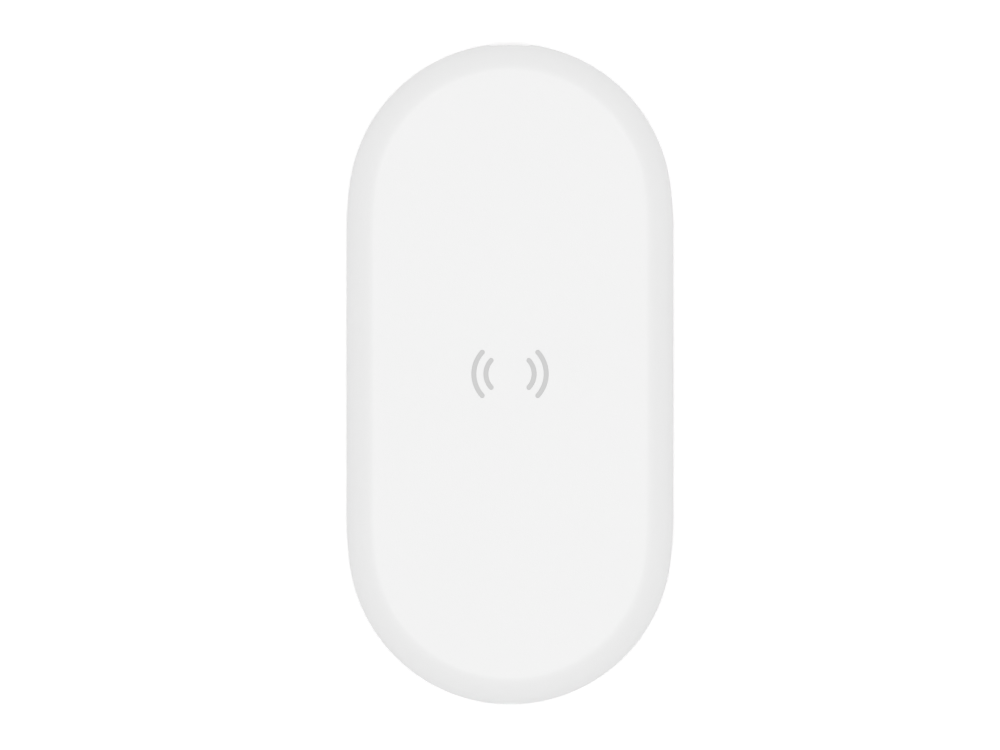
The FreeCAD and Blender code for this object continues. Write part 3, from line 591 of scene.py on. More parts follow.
class Solids:
    """A handful of solids in one mesh, for joining to a cover or cutting from it."""

    def __init__(self):
        self.shape = bmesh.new()

    def loft(self, *outlines):
        """A closed solid through outlines with as many corners each, in millimetres."""
        rings = [[self.shape.verts.new(Vector(p) * MM) for p in outline] for outline in outlines]
        self.shape.faces.new(rings[0])
        self.shape.faces.new(rings[-1])
        for near, far in zip(rings, rings[1:]):
            for n in range(len(near)):
                self.shape.faces.new((near[n - 1], near[n], far[n], far[n - 1]))

    def prism(self, outline, direction):
        self.loft(outline, [Vector(p) + Vector(direction) for p in outline])

    def post(self, x, y, radius, low, high, steps=40):
        turns = [2 * math.pi * n / steps for n in range(steps)]
        outline = [(x + radius * math.cos(a), y + radius * math.sin(a), low) for a in turns]
        self.prism(outline, (0, 0, high - low))

    def block(self, x, y, low, width, length, height):
        corners = ((-1, -1), (1, -1), (1, 1), (-1, 1))
        outline = [(x + sx * width / 2, y + sy * length / 2, low) for sx, sy in corners]
        self.prism(outline, (0, 0, height))

    def done(self, name):
        bmesh.ops.recalc_face_normals(self.shape, faces=self.shape.faces)
        mesh = bpy.data.meshes.new(name)
        self.shape.to_mesh(mesh)
        self.shape.free()
        made = bpy.data.objects.new(name, mesh)
        bpy.context.scene.collection.objects.link(made)
        return made


def bar_end(y, z, width, height, corner, steps=10):
    """The outline of a rounded bar along Y, where it stands at y."""
    outline = []
    for quarter in range(4):
        for step in range(steps + 1):
            a = math.pi / 2 * (quarter + step / steps)
            sx = 1 if quarter in (0, 3) else -1
            sz = 1 if quarter < 2 else -1
            across = sx * (width / 2 - corner) + corner * math.cos(a)
            up = sz * (height / 2 - corner) + corner * math.sin(a)
            outline.append((across, y, z + up))
    return outline


def work(piece, solids, operation):
    """Joins solids to a piece, or cuts them from it."""
    tool = solids.done("tool")
    name = piece.name
    piece.name = "blank"
    modifier = piece.modifiers.new("work", "BOOLEAN")
    modifier.operation = operation
    modifier.solver = "EXACT"
    modifier.object = tool
    worked = baked(piece, name)
    bpy.data.objects.remove(tool)
    return worked


# ---- the covers ----

SCREW_CIRCLE = TIP_RADIUS - GROOVE_INSET - GROOVE_WIDTH / 2
SCREW_ANGLE = math.radians(50)
SCREW_PLACES = [
    (sx * SCREW_CIRCLE * math.cos(SCREW_ANGLE), sy * (TIP_Y + SCREW_CIRCLE * math.sin(SCREW_ANGLE)))
    for sx in (-1, 1)
    for sy in (-1, 1)
]
EAR_PLACES = [(sx * 31.9, sy * 14.0) for sx in (-1, 1) for sy in (-1, 1)]  # where the coil tray is held
BOARD_SCREW = (10.5, 55.5)
BOARD_STOP = (13.0, 65.0)
LIGHT_BOARD_PIN = (5.5, -62.4)
SNAP_YS = (-27.0, 0.0, 27.0)
SNAP_LENGTH = 6.0
HOOK = ((31.5, 2.2), (32.5, 2.2), (32.5, 5.85), (32.9, 6.0), (32.5, 6.5), (31.5, 6.5))  # a snap's x and z

# posts and holes: radius, lower end and upper end
SUNK = FLOOR - 0.3  # a post starts inside the floor
ROOF_BOSS = (2.4, 5.0, ROOF + 0.4)
ROOF_BOSS_HOLE = (1.0, 4.8, ROOF)
FLOOR_BOSS = (3.4, SUNK, 3.6)
FLOOR_BOSS_NECK = (2.6, 3.3, 4.9)
FLOOR_BOSS_HOLE = (1.15, 3.0, 5.5)
HEAD_RECESS = (2.1, 0.5, 3.3)
BOARD_POST = (1.8, SUNK, 3.6)
BOARD_POST_HOLE = (0.8, 2.0, 4.0)
BOARD_STOP_POST = (1.2, SUNK, 3.6)
LIGHT_BOARD_POST = (1.6, SUNK, 3.3)
LIGHT_BOARD_PEG = (0.75, 3.0, 4.7)
EAR_POST = (1.8, SUNK, 4.0)
EAR_POST_HOLE = (0.8, 2.0, 4.5)

OPENING_WIDTH = 9.5
OPENING_HEIGHT = 3.56
OPENING_CORNER = 1.7
OPENING_FLARE = 0.5
FLARE_DEPTH = 0.85
GUIDE_WIDTH = 3.2
GUIDE_TOP = 5.0


def socket_opening(cut):
    """The hole for the socket, with its mouth flared a little."""
    mouth = LENGTH / 2
    stations = ((socket_low.y - 0.05, 0.0), (mouth - FLARE_DEPTH, 0.0), (mouth + 0.15, OPENING_FLARE))
    outlines = []
    for y, flare in stations:
        size = (OPENING_WIDTH + flare, OPENING_HEIGHT + flare, OPENING_CORNER + flare / 2)
        outlines.append(bar_end(y, SOCKET_Z, *size))
    cut.loft(*outlines)


def top_cover():
    """The upper shell, with bosses for the screws and ledges that the snaps catch on."""
    outside = edge_curve(0, UPPER_RIM, HEIGHT, ROLL_WIDTH, ROLL_PULLS, 28)[::-1]
    inside = edge_curve(WALL, REBATE_TOP, ROOF, ROLL_WIDTH, INNER_ROLL_PULLS, 14)
    flat = [(inset, HEIGHT) for inset in (TIP_RADIUS, 28, 20, 13, 9, 6.8)]
    lip = [(0.0, UPPER_RIM), (REBATE_INSET, UPPER_RIM), (REBATE_INSET, REBATE_TOP)]
    lip = eased([outside[-2]] + lip + [inside[0]], {1: 0.1, 2: 0.08}, 3)[1:-1]
    points = flat + outside[:-1] + lip + inside + [(20, ROOF), (TIP_RADIUS, ROOF)]
    cover = round_the_pad("top_cover.shell", points, white_cover)
    added = Solids()
    for x, y in SCREW_PLACES:
        added.post(x, y, *ROOF_BOSS)
    for side in (-1, 1):
        for y in SNAP_YS:
            added.block(side * 33.6, y, 5.25, 2.0, SNAP_LENGTH + 0.4, 0.5)
    cover = work(cover, added, "UNION")
    cut = Solids()
    socket_opening(cut)
    slot_height = 1 + GUIDE_TOP + 0.05 - UPPER_RIM
    cut.block(0, -LENGTH / 2, UPPER_RIM - 1, GUIDE_WIDTH + 0.1, 6.0, slot_height)
    for x, y in SCREW_PLACES:
        cut.post(x, y, *ROOF_BOSS_HOLE)
    mark_recess(cut)
    return fit(soften(work(cover, cut, "DIFFERENCE")), "cover_plastic", "top_cover")


def bottom_cover():
    """The lower shell, with its tongue, snaps, foot groove, and posts for the boards and the tray."""
    outside = edge_curve(0, LOWER_RIM, UNDERSIDE, UNDER_ROLL_WIDTH, UNDER_ROLL_PULLS, 22)[::-1]
    inside = edge_curve(WALL, LOWER_RIM, FLOOR, UNDER_INNER_ROLL_WIDTH, UNDER_INNER_ROLL_PULLS, 12)
    groove_end = GROOVE_INSET + GROOVE_WIDTH
    groove = [
        (20, UNDERSIDE),
        (groove_end, UNDERSIDE),
        (groove_end, GROOVE_TOP),
        (GROOVE_INSET, GROOVE_TOP),
        (GROOVE_INSET, UNDERSIDE),
        (6, UNDERSIDE),
    ]
    groove = eased(groove, {1: 0.15, 4: 0.15}, 3)
    tongue = [(TONGUE_INSET, LOWER_RIM), (TONGUE_INSET, TONGUE_TOP), (WALL, TONGUE_TOP)]
    rim = [outside[-2], (0.0, LOWER_RIM)] + tongue + [(WALL, LOWER_RIM)]
    rim = eased(rim, {1: 0.1, 3: 0.12, 4: 0.12}, 3)[1:-1]
    points = [(TIP_RADIUS, UNDERSIDE)] + groove + outside[:-1] + rim + inside
    points += [(20, FLOOR), (TIP_RADIUS, FLOOR)]
    cover = round_the_pad("bottom_cover.shell", points, white_cover)
    added = Solids()
    for x, y in SCREW_PLACES:
        added.post(x, y, *FLOOR_BOSS)
    for side in (-1, 1):
        for (x, y), post in ((BOARD_SCREW, BOARD_POST), (BOARD_STOP, BOARD_STOP_POST)):
            added.post(side * x, y, *post)
        added.post(side * LIGHT_BOARD_PIN[0], LIGHT_BOARD_PIN[1], *LIGHT_BOARD_POST)
        for y in SNAP_YS:
            added.prism([(side * x, y - SNAP_LENGTH / 2, z) for x, z in HOOK], (0, SNAP_LENGTH, 0))
    for x, y in EAR_PLACES:
        added.post(x, y, *EAR_POST)
    cover = work(cover, added, "UNION")
    added = Solids()
    for x, y in SCREW_PLACES:
        added.post(x, y, *FLOOR_BOSS_NECK)
    for side in (-1, 1):
        added.post(side * LIGHT_BOARD_PIN[0], LIGHT_BOARD_PIN[1], *LIGHT_BOARD_PEG)
    cover = work(cover, added, "UNION")
    cut = Solids()
    for x, y in SCREW_PLACES:
        cut.post(x, y, *HEAD_RECESS)
    for x, y in EAR_PLACES:
        cut.post(x, y, *EAR_POST_HOLE)
    for side in (-1, 1):
        cut.post(side * BOARD_SCREW[0], BOARD_SCREW[1], *BOARD_POST_HOLE)
    socket_opening(cut)
    cut.block(0, -LENGTH / 2, LOWER_RIM, GUIDE_WIDTH + 0.4, 5.0, 2.0)
    cover = work(cover, cut, "DIFFERENCE")
    cut = Solids()
    for x, y in SCREW_PLACES:
        cut.post(x, y, *FLOOR_BOSS_HOLE)
    return fit(soften(work(cover, cut, "DIFFERENCE")), "cover_plastic", "bottom_cover")


def foot_ring():
    """A flat ring of silicone with fine grooves in its sole."""
    outer = FOOT_INSET
    inner = GROOVE_INSET + GROOVE_WIDTH - FOOT_CLEARANCE
    ribs = 6
    pitch = (inner - outer - 1.0) / ribs
    depth, half_mouth, half_bed = 0.16, 0.22, 0.12
    points = [(outer, ring_high.z), (outer, 0.0)]
    for rib in range(1, ribs):
        middle = outer + 0.5 + rib * pitch
        points += [(middle - half_mouth, 0.0), (middle - half_bed, depth)]
        points += [(middle + half_bed, depth), (middle + half_mouth, 0.0)]
    points += [(inner, 0.0), (inner, ring_high.z)]
    last = len(points) - 1
    points = eased(points, {0: 0.06, 1: 0.3, last - 1: 0.3, last: 0.06}, 5)
    ring = round_the_pad("foot_ring.silicone", points, foot_silicone, closed=True)
    return fit(soften(ring, 50), "foot_silicone", "foot_ring")


# ---- the mark: bent bars with round ends ----

MARK_DEPTH = 0.05
MARK_RADII = (4.4, 7.05)
MARK_CENTRE = 0.9
STROKE = 1.05
STROKE_HALF_ANGLE = math.radians(42.5)


def mark_recess(cut, steps=28, cap_steps=14):
    """The four shallow recesses that the ink fills."""
    half = STROKE / 2 + 0.01
    for side in (-1, 1):
        for radius in MARK_RADII:
            rim = []
            for way in (1, -1):
                for step in range(steps + 1):
                    rim.append((radius + way * half, way * STROKE_HALF_ANGLE * (2 * step / steps - 1)))
                for step in range(1, cap_steps):
                    turn = math.pi * step / cap_steps
                    across, along = half * math.cos(turn), half * math.sin(turn)
                    rim.append((radius + way * across, way * (STROKE_HALF_ANGLE + along / radius)))
            outline = []
            for r, a in rim:
                x, y = side * (MARK_CENTRE + r * math.cos(a)), r * math.sin(a)
                outline.append((x, y, HEIGHT - MARK_DEPTH))
            cut.prism(outline, (0, 0, 1))


def charge_mark():
    """Ink with a soft edge: a rounded bar in the tree, bent and set four times."""
    tree = ShapeTree(
        "mark_rule",
        Steps=128,
        Stroke=STROKE * MM,
        Depth=MARK_DEPTH * MM,
        Top=HEIGHT * MM,
        Half_Angle=STROKE_HALF_ANGLE,
        Centre=MARK_CENTRE * MM,
        Inner_Radius=MARK_RADII[0] * MM,
        Outer_Radius=MARK_RADII[1] * MM,
        Finish=mark_ink,
    )
    given = tree.given
    half = tree.times(given["Stroke"], 0.5)
    place = tree.add("GeometryNodeInputPosition")
    section = tree.add("GeometryNodeMeshToCurve", {0: given["Geometry"]})
    section, section_spot = tree.keep(section, "VECTOR", place)
    inset, height, _ = tree.axes(section_spot)
    reach = tree.minus(half, inset)
    circle = tree.add("GeometryNodeCurvePrimitiveCircle", {"Resolution": given["Steps"], "Radius": 1.0})
    circle = tree.shifted(circle, turn=tree.sum("DIVIDE", math.pi, given["Steps"]))
    round_x, round_y, _ = tree.axes(place)
    z = tree.times_plus(height, given["Depth"], tree.minus(given["Top"], given["Depth"]))
    bars = []
    for radius in (given["Inner_Radius"], given["Outer_Radius"]):
        length = tree.times(radius, given["Half_Angle"])
        end = tree.times(length, tree.sum("SIGN", round_y))
        spot = tree.join_axes(tree.times(round_x, half), tree.times_plus(round_y, half, end))
        rim = tree.add("GeometryNodeSetPosition", {0: circle, "Position": spot})
        rim = tree.add("GeometryNodeResampleCurve", {0: rim, "Count": given["Steps"]})
        rim, rim_spot = tree.keep(rim, "VECTOR", place)
        skin = tree.add("GeometryNodeCurveToMesh", {0: rim, 1: section})
        rim_x, rim_y, _ = tree.axes(rim_spot)
        back_end = tree.times(length, -1.0)
        middle = tree.sum("MINIMUM", length, tree.sum("MAXIMUM", rim_y, back_end))
        outwards = tree.vector("NORMALIZE", tree.join_axes(rim_x, tree.minus(rim_y, middle)))
        across, along, _ = tree.axes(outwards)
        angle = tree.sum("DIVIDE", tree.times_plus(along, reach, middle), radius)
        distance = tree.times_plus(across, reach, radius)
        x = tree.times_plus(tree.sum("COSINE", angle), distance, given["Centre"])
        y = tree.times(tree.sum("SINE", angle), distance)
        bars.append(tree.add("GeometryNodeSetPosition", {0: skin, "Position": tree.join_axes(x, y, z)}))
    pair = tree.joined(*bars)
    tree.close(tree.joined(pair, tree.shifted(pair, turn=math.pi)), given["Finish"])
    section = [(STROKE / 2, 1.0), (0.3, 1.0), (0.1, 1.0), (0.05, 0.93), (0.015, 0.75), (0.0, 0.45)]
    section += [(0.0, 0.0), (STROKE / 2, 0.0)]
    mesh = section_mesh("mark_section", [(inset, share / MM) for inset, share in section])
    mark = tree.grow("charge_mark.ink", mesh)
    return fit(soften(mark, 60), "mark_ink", "charge_mark")


# ---- whatever is set out on the boards and in the covers, one shape at several places ----


def set_out(name, slot, nodes, finish, unit, places, angle=35, **sizes):
    """Makes one unit by a rule and sets it at each place. A place is x, y and z in millimetres, and a turn
    in degrees."""
    tree = ShapeTree(name + "_rule", Finish=finish, **sizes)
    given = tree.given
    turn = tree.add("GeometryNodeInputNamedAttribute", {"Name": "turn"}, data_type="FLOAT")
    feeds = {
        "Points": given["Geometry"],
        "Instance": unit(tree, given),
        "Rotation": tree.join_axes(0, 0, turn.outputs["Attribute"]),
    }
    tree.close(tree.add("GeometryNodeInstanceOnPoints", feeds), given["Finish"])
    mesh = bpy.data.meshes.new(name + "_places")
    mesh.from_pydata([Vector(place[:3]) * MM for place in places], [], [])
    turns = mesh.attributes.new("turn", "FLOAT", "POINT")
    turns.data.foreach_set("value", [math.radians(place[3]) for place in places])
    return fit(soften(tree.grow(name, mesh), angle), slot, *nodes)


def chip_body(tree, given):
    """The ceramic between a chip part's two metal ends."""
    proud = tree.times(given["Proud"], -2.0)
    length = tree.times_plus(given["End"], -1.8, given["Length"])
    width = tree.plus(given["Width"], proud)
    height = tree.plus(given["Height"], proud)
    return tree.soft_block(length, width, height, given["Edge"])


def chip_ends(tree, given):
    """The two metal ends, each with its fillet of solder on the board."""
    cap = tree.soft_block(given["End"], given["Width"], given["Height"], given["Edge"])
    reach = tree.times(tree.minus(given["Length"], given["End"]), 0.5)
    face = tree.times(given["Length"], 0.5)
    drop = tree.times(given["Height"], -0.5)
    ends = {
        "Start": tree.join_axes(face, tree.times(given["Width"], -0.46), drop),
        "End": tree.join_axes(face, tree.times(given["Width"], 0.46), drop),
    }
    run = tree.add("GeometryNodeCurvePrimitiveLine", ends)
    round_bar = tree.add("GeometryNodeCurvePrimitiveCircle", {"Resolution": 8, "Radius": given["Fillet"]})
    fillet = tree.add("GeometryNodeCurveToMesh", {0: run, 1: round_bar, "Fill Caps": True})
    place = tree.add("GeometryNodeInputPosition")
    flat = tree.vector("MAXIMUM", place, tree.join_axes(-1.0, -1.0, drop))
    fillet = tree.add("GeometryNodeSetPosition", {0: fillet, "Position": flat})
    right = tree.joined(tree.shifted(cap, x=reach), fillet)
    return tree.joined(right, tree.shifted(right, turn=math.pi))


def chip_parts(node, slot, finish, share=0.2):
    """Chip resistors or capacitors: a body and two ends on each of the node's solids."""
    solids = solids_of(node)
    size = solids[0][1]
    length, width, height = max(size.x, size.y), min(size.x, size.y), size.z
    places = [(middle.x, middle.y, middle.z, 90 if size.y > size.x else 0) for middle, _ in solids]
    sizes = dict(
        Length=length * MM,
        Width=width * MM,
        Height=height * MM,
        End=share * length * MM,
        Proud=0.03 * height * MM,
        Edge=0.08 * height * MM,
    )
    fillet = min(0.15, 0.4 * height) * MM
    set_out(node + ".bodies", slot, [node], finish, chip_body, places, 60, **sizes)
    set_out(node + ".ends", "solder", [node], bright_tin, chip_ends, places, 60, Fillet=fillet, **sizes)


def package_body(tree, given):
    """A flat moulded package with a dimple by its first pad."""
    body = tree.soft_block(given["Side"], given["Side"], given["Height"], given["Edge"])
    corner = tree.times(given["Side"], -0.36)
    top = tree.times(given["Height"], 0.5)
    feeds = {"Vertices": 20, "Radius": given["Dimple"], "Depth": tree.times(given["Dimple"], 0.5)}
    dimple = tree.shifted(tree.add("GeometryNodeMeshCylinder", feeds).outputs[0], corner, corner, top)
    return tree.cut(body, dimple)


def package_pads(tree, given):
    """Rows of pads that just show under the package's four sides."""
    row_length = tree.times(given["Pitch"], tree.minus(given["Count"], 1.0))
    first = tree.times(row_length, -0.5)
    edge = tree.times(given["Side"], -0.5)
    low = tree.times_plus(given["Height"], -0.5, tree.times(given["Pad_Height"], 0.5))
    feeds = {"Count": given["Count"], "Start Location": tree.join_axes(first, edge, low)}
    row = tree.add("GeometryNodeMeshLine", {**feeds, "Offset": tree.join_axes(given["Pitch"])})
    depth = tree.times(given["Pad_Width"], 1.2)
    pad = tree.soft_block(given["Pad_Width"], depth, given["Pad_Height"], 0.02 * MM)
    side = tree.add("GeometryNodeInstanceOnPoints", {"Points": row, "Instance": pad})
    return tree.joined(*(tree.shifted(side, turn=quarter * math.pi / 2) for quarter in range(4)))


def packages(node, pads, pitch, pad_width):
    """Flat square packages on the node's solids. pads is how many each side has."""
    solids = solids_of(node)
    size = solids[0][1]
    places = [(middle.x, middle.y, middle.z, 0) for middle, _ in solids]
    sizes = dict(Side=size.x * MM, Height=size.z * MM)
    marks = dict(Edge=0.06 * MM, Dimple=0.05 * size.x * MM)
    set_out(node + ".bodies", "chip_epoxy", [node], chip_black, package_body, places, **sizes, **marks)
    rows = dict(Count=pads, Pitch=pitch * MM, Pad_Width=pad_width * MM, Pad_Height=0.2 * MM)
    set_out(node + ".pads", "solder", [node], bright_tin, package_pads, places, **sizes, **rows)


def switch_body(tree, given):
    """A small transistor's moulded block."""
    return tree.soft_block(given["Length"], given["Width"], given["Height"], 0.12 * MM)


def switch_legs(tree, given):
    """Three bent legs: two on one side, one on the other."""
    out = tree.times(given["Width"], 0.46)
    toe = tree.times(given["Span"], 0.5)
    bend = tree.times(tree.plus(out, toe), 0.5)
    foot = tree.times(given["Height"], -0.56)
    path = {
        "Resolution": 10,
        "Start": tree.join_axes(0, out, 0),
        "Start Handle": tree.join_axes(0, tree.times(bend, 1.06), 0),
        "End Handle": tree.join_axes(0, tree.times(bend, 0.96), foot),
        "End": tree.join_axes(0, toe, foot),
    }
    path = tree.add("GeometryNodeCurvePrimitiveBezierSegment", path)
    strip = {"Width": given["Leg_Width"], "Height": 0.12 * MM}
    strip = tree.add("GeometryNodeCurvePrimitiveQuadrilateral", strip)
    leg = tree.add("GeometryNodeCurveToMesh", {0: path, 1: strip, "Fill Caps": True})
    pair = [tree.shifted(leg, x=tree.times(given["Leg_Pitch"], half)) for half in (-0.5, 0.5)]
    return tree.joined(leg, tree.shifted(tree.joined(*pair), turn=math.pi))


def coil_switches():
    places = [(middle.x, middle.y, middle.z + 0.05, 0) for middle, _ in solids_of("coil_switches")]
    sizes = dict(Length=2.9 * MM, Width=1.3 * MM, Height=1.0 * MM)
    legs = dict(Span=2.2 * MM, Leg_Width=0.4 * MM, Leg_Pitch=1.9 * MM, **sizes)
    node = ["coil_switches"]
    set_out("coil_switches.bodies", "chip_epoxy", node, chip_black, switch_body, places, 60, **sizes)
    set_out("coil_switches.legs", "solder", node, bright_tin, switch_legs, places, **legs)


def inductor_body(tree, given):
    """A pressed block with a shallow round dish in its top."""
    body = tree.soft_block(given["Side"], given["Side"], given["Height"], 0.28 * MM)
    feeds = {"Vertices": 48, "Radius": tree.times(given["Side"], 0.36), "Depth": 0.16 * MM}
    dish = tree.add("GeometryNodeMeshCylinder", feeds).outputs[0]
    return tree.cut(body, tree.shifted(dish, z=tree.times(given["Height"], 0.5)))


def inductor_feet(tree, given):
    """A flat terminal that wraps under the block on each side."""
    low = tree.times(given["Height"], -0.5)
    side = tree.times(given["Side"], 0.5)
    width = tree.times(given["Side"], 0.45)
    rise = tree.times(given["Height"], 0.5)
    strap = tree.soft_block(0.14 * MM, width, rise, 0.04 * MM)
    sole = tree.soft_block(1.0 * MM, width, 0.14 * MM, 0.04 * MM)
    strap = tree.shifted(strap, tree.plus(side, 0.03 * MM), 0, tree.times(low, 0.5))
    sole = tree.shifted(sole, tree.plus(side, -0.4 * MM), 0, tree.plus(low, 0.07 * MM))
    pair = tree.joined(strap, sole)
    return tree.joined(pair, tree.shifted(pair, turn=math.pi))


def power_inductor():
    (middle, size), = solids_of("power_inductor")
    sizes = dict(Side=(size.x - 0.2) * MM, Height=(size.z - 0.04) * MM)
    place = [(middle.x, middle.y, middle.z, 0)]
    node = ["power_inductor"]
    set_out("power_inductor.body", "inductor_body", node, pressed_powder, inductor_body, place, **sizes)
    set_out("power_inductor.feet", "solder", node, bright_tin, inductor_feet, place, **sizes)


def crystal_can(tree, given):
    """A ceramic tub with a welded metal lid."""
    low = tree.times(given["Height"], -0.18)
    tub_height = tree.times(given["Height"], 0.64)
    tub = tree.soft_block(given["Length"], given["Width"], tub_height, 0.06 * MM)
    lid_length = tree.plus(given["Length"], -0.3 * MM)
    lid_width = tree.plus(given["Width"], -0.3 * MM)
    lid = tree.soft_block(lid_length, lid_width, tree.times(given["Height"], 0.4), 0.08 * MM)
    high = tree.times(given["Height"], 0.3)
    return tree.joined(tree.shifted(tub, z=low), tree.shifted(lid, z=high))


def crystal():
    (middle, size), = solids_of("crystal")
    sizes = dict(Length=size.x * MM, Width=size.y * MM, Height=size.z * MM)
    place = [(middle.x, middle.y, middle.z, 0)]
    set_out("crystal.can", "crystal_can", ["crystal"], bright_tin, crystal_can, place, **sizes)


def light_package_body(tree, given):
    """The status light's white package, open towards the light guide."""
    body = tree.soft_block(given["Length"], given["Width"], given["Height"], 0.06 * MM)
    length, height = tree.times(given["Length"], 0.7), tree.times(given["Height"], 0.6)
    window = tree.soft_block(length, 0.5 * MM, height, 0.1 * MM)
    return tree.cut(body, tree.shifted(window, y=tree.times(given["Width"], -0.5)))


def light_window(tree, given):
    """The phosphor in the package's opening."""
    length, height = tree.times(given["Length"], 0.69), tree.times(given["Height"], 0.58)
    window = tree.soft_block(length, 0.14 * MM, height, 0.05 * MM)
    return tree.shifted(window, y=tree.times_plus(given["Width"], -0.5, 0.2 * MM))


def status_light():
    (middle, size), = solids_of("status_light")
    sizes = dict(Length=size.x * MM, Width=size.y * MM, Height=size.z * MM)
    place = [(middle.x, middle.y, middle.z, 0)]
    node = ["status_light"]
    slot = "light_package"
    set_out("status_light.package", slot, node, light_package, light_package_body, place, **sizes)
    set_out("status_light.window", slot, node, phosphor, light_window, place, **sizes)


# ---- screws and coils ----


def screw_unit(tree, given):
    """A pan-head screw that points down, its seat at the origin: head, shank, thread and cross recess."""
    top = given["Head_Height"]
    round_head = {"Vertices": 40, "Side Segments": 6, "Radius": given["Head_Radius"], "Depth": top}
    head = tree.add("GeometryNodeMeshCylinder", round_head).outputs[0]
    x, y, z = tree.axes(tree.add("GeometryNodeInputPosition"))
    up = tree.plus(z, tree.times(top, 0.5))
    share = tree.sum("DIVIDE", up, top)
    crown = tree.sum("POWER", tree.sum("MAXIMUM", tree.times_plus(share, 1.6, -0.6), 0.0), 2.4)
    narrow = tree.minus(1.0, tree.times(crown, 0.3))
    spot = tree.join_axes(tree.times(x, narrow), tree.times(y, narrow), up)
    head = tree.add("GeometryNodeSetPosition", {0: head, "Position": spot})
    arm = tree.times(given["Head_Radius"], 1.15)
    slot = tree.times(given["Head_Radius"], 0.26)
    cross = tree.soft_block(arm, slot, top, 0.03 * MM)
    cross = tree.shifted(cross, z=tree.times(top, 0.95))
    head = tree.cut(head, cross, tree.shifted(cross, turn=math.pi / 2))
    length = given["Shank_Length"]
    core = tree.times(given["Shank_Radius"], 0.84)
    shank = {"Vertices": 20, "Radius": core, "Depth": length}
    shank = tree.add("GeometryNodeMeshCylinder", shank).outputs[0]
    shank = tree.shifted(shank, z=tree.times(length, -0.5))
    run = tree.times(length, 0.86)
    helix = {
        "Resolution": 14,
        "Rotations": tree.sum("DIVIDE", run, given["Thread_Pitch"]),
        "Start Radius": core,
        "End Radius": core,
        "Height": run,
    }
    helix = tree.add("GeometryNodeCurveSpiral", helix)
    helix = tree.add("GeometryNodeSetCurveNormal", {0: helix}, mode="Z_UP")
    ridge = tree.minus(given["Shank_Radius"], core)
    tooth = tree.add("GeometryNodeCurvePrimitiveCircle", {"Resolution": 4, "Radius": ridge})
    thread = tree.add("GeometryNodeCurveToMesh", {0: helix, 1: tooth, "Fill Caps": True})
    thread = tree.shifted(thread, z=tree.times(length, -0.97))
    return tree.joined(head, shank, thread)


def screws(node, seat, head, shank, upside_down=False):
    """Screws at the node's solids. head and shank are each a radius and a length. upside_down is for
    those that go in from below."""
    head_radius, head_height = head
    shank_radius, shank_length = shank
    places = [(middle.x, middle.y, 0, 15 + 23 * n) for n, (middle, _) in enumerate(solids_of(node))]
    sizes = dict(
        Head_Radius=head_radius * MM,
        Head_Height=head_height * MM,
        Shank_Radius=shank_radius * MM,
        Shank_Length=shank_length * MM,
        Thread_Pitch=0.45 * shank_radius * 2 * MM,
        Seat=seat * MM,
        Way_Up=-1.0 if upside_down else 1.0,
    )

    def unit(tree, given):
        x, y, z = tree.axes(tree.add("GeometryNodeInputPosition"))
        flipped_y = tree.times(y, given["Way_Up"])
        seated_z = tree.times_plus(z, given["Way_Up"], given["Seat"])
        spot = tree.join_axes(x, flipped_y, seated_z)
        return tree.add("GeometryNodeSetPosition", {0: screw_unit(tree, given), "Position": spot})

    set_out(node + ".steel", "screw_steel", [node], black_zinc, unit, places, **sizes)


COIL_TURNS = 11
COIL_PITCH = 1.07
COIL_HALF_X = 14.25  # the innermost turn's middle line
COIL_HALF_Y = 10.25
COIL_CORNER = 6.5
COIL_SPACING = 24.6
WIRE = 1.0
WIRE_CORNER = 0.28
STEPS_A_TURN = 56


def wound(tree, rail, profile, spot):
    """A wire along a rail, with the way round it and the place along it kept for the strands' finish."""
    rail = tree.add("GeometryNodeSetCurveNormal", {0: rail}, mode="Z_UP")
    rail, along = tree.keep(rail, "FLOAT", tree.add("GeometryNodeSplineParameter").outputs["Length"])
    wire = tree.add("GeometryNodeCurveToMesh", {0: rail, 1: profile, "Fill Caps": True})
    across, up, _ = tree.axes(tree.vector("NORMALIZE", spot))
    wrap = {0: wire, "Name": "wrap", "Value": tree.join_axes(across, up, along)}
    settings = dict(data_type="FLOAT_VECTOR", domain="POINT")
    return tree.add("GeometryNodeStoreNamedAttribute", wrap, **settings)


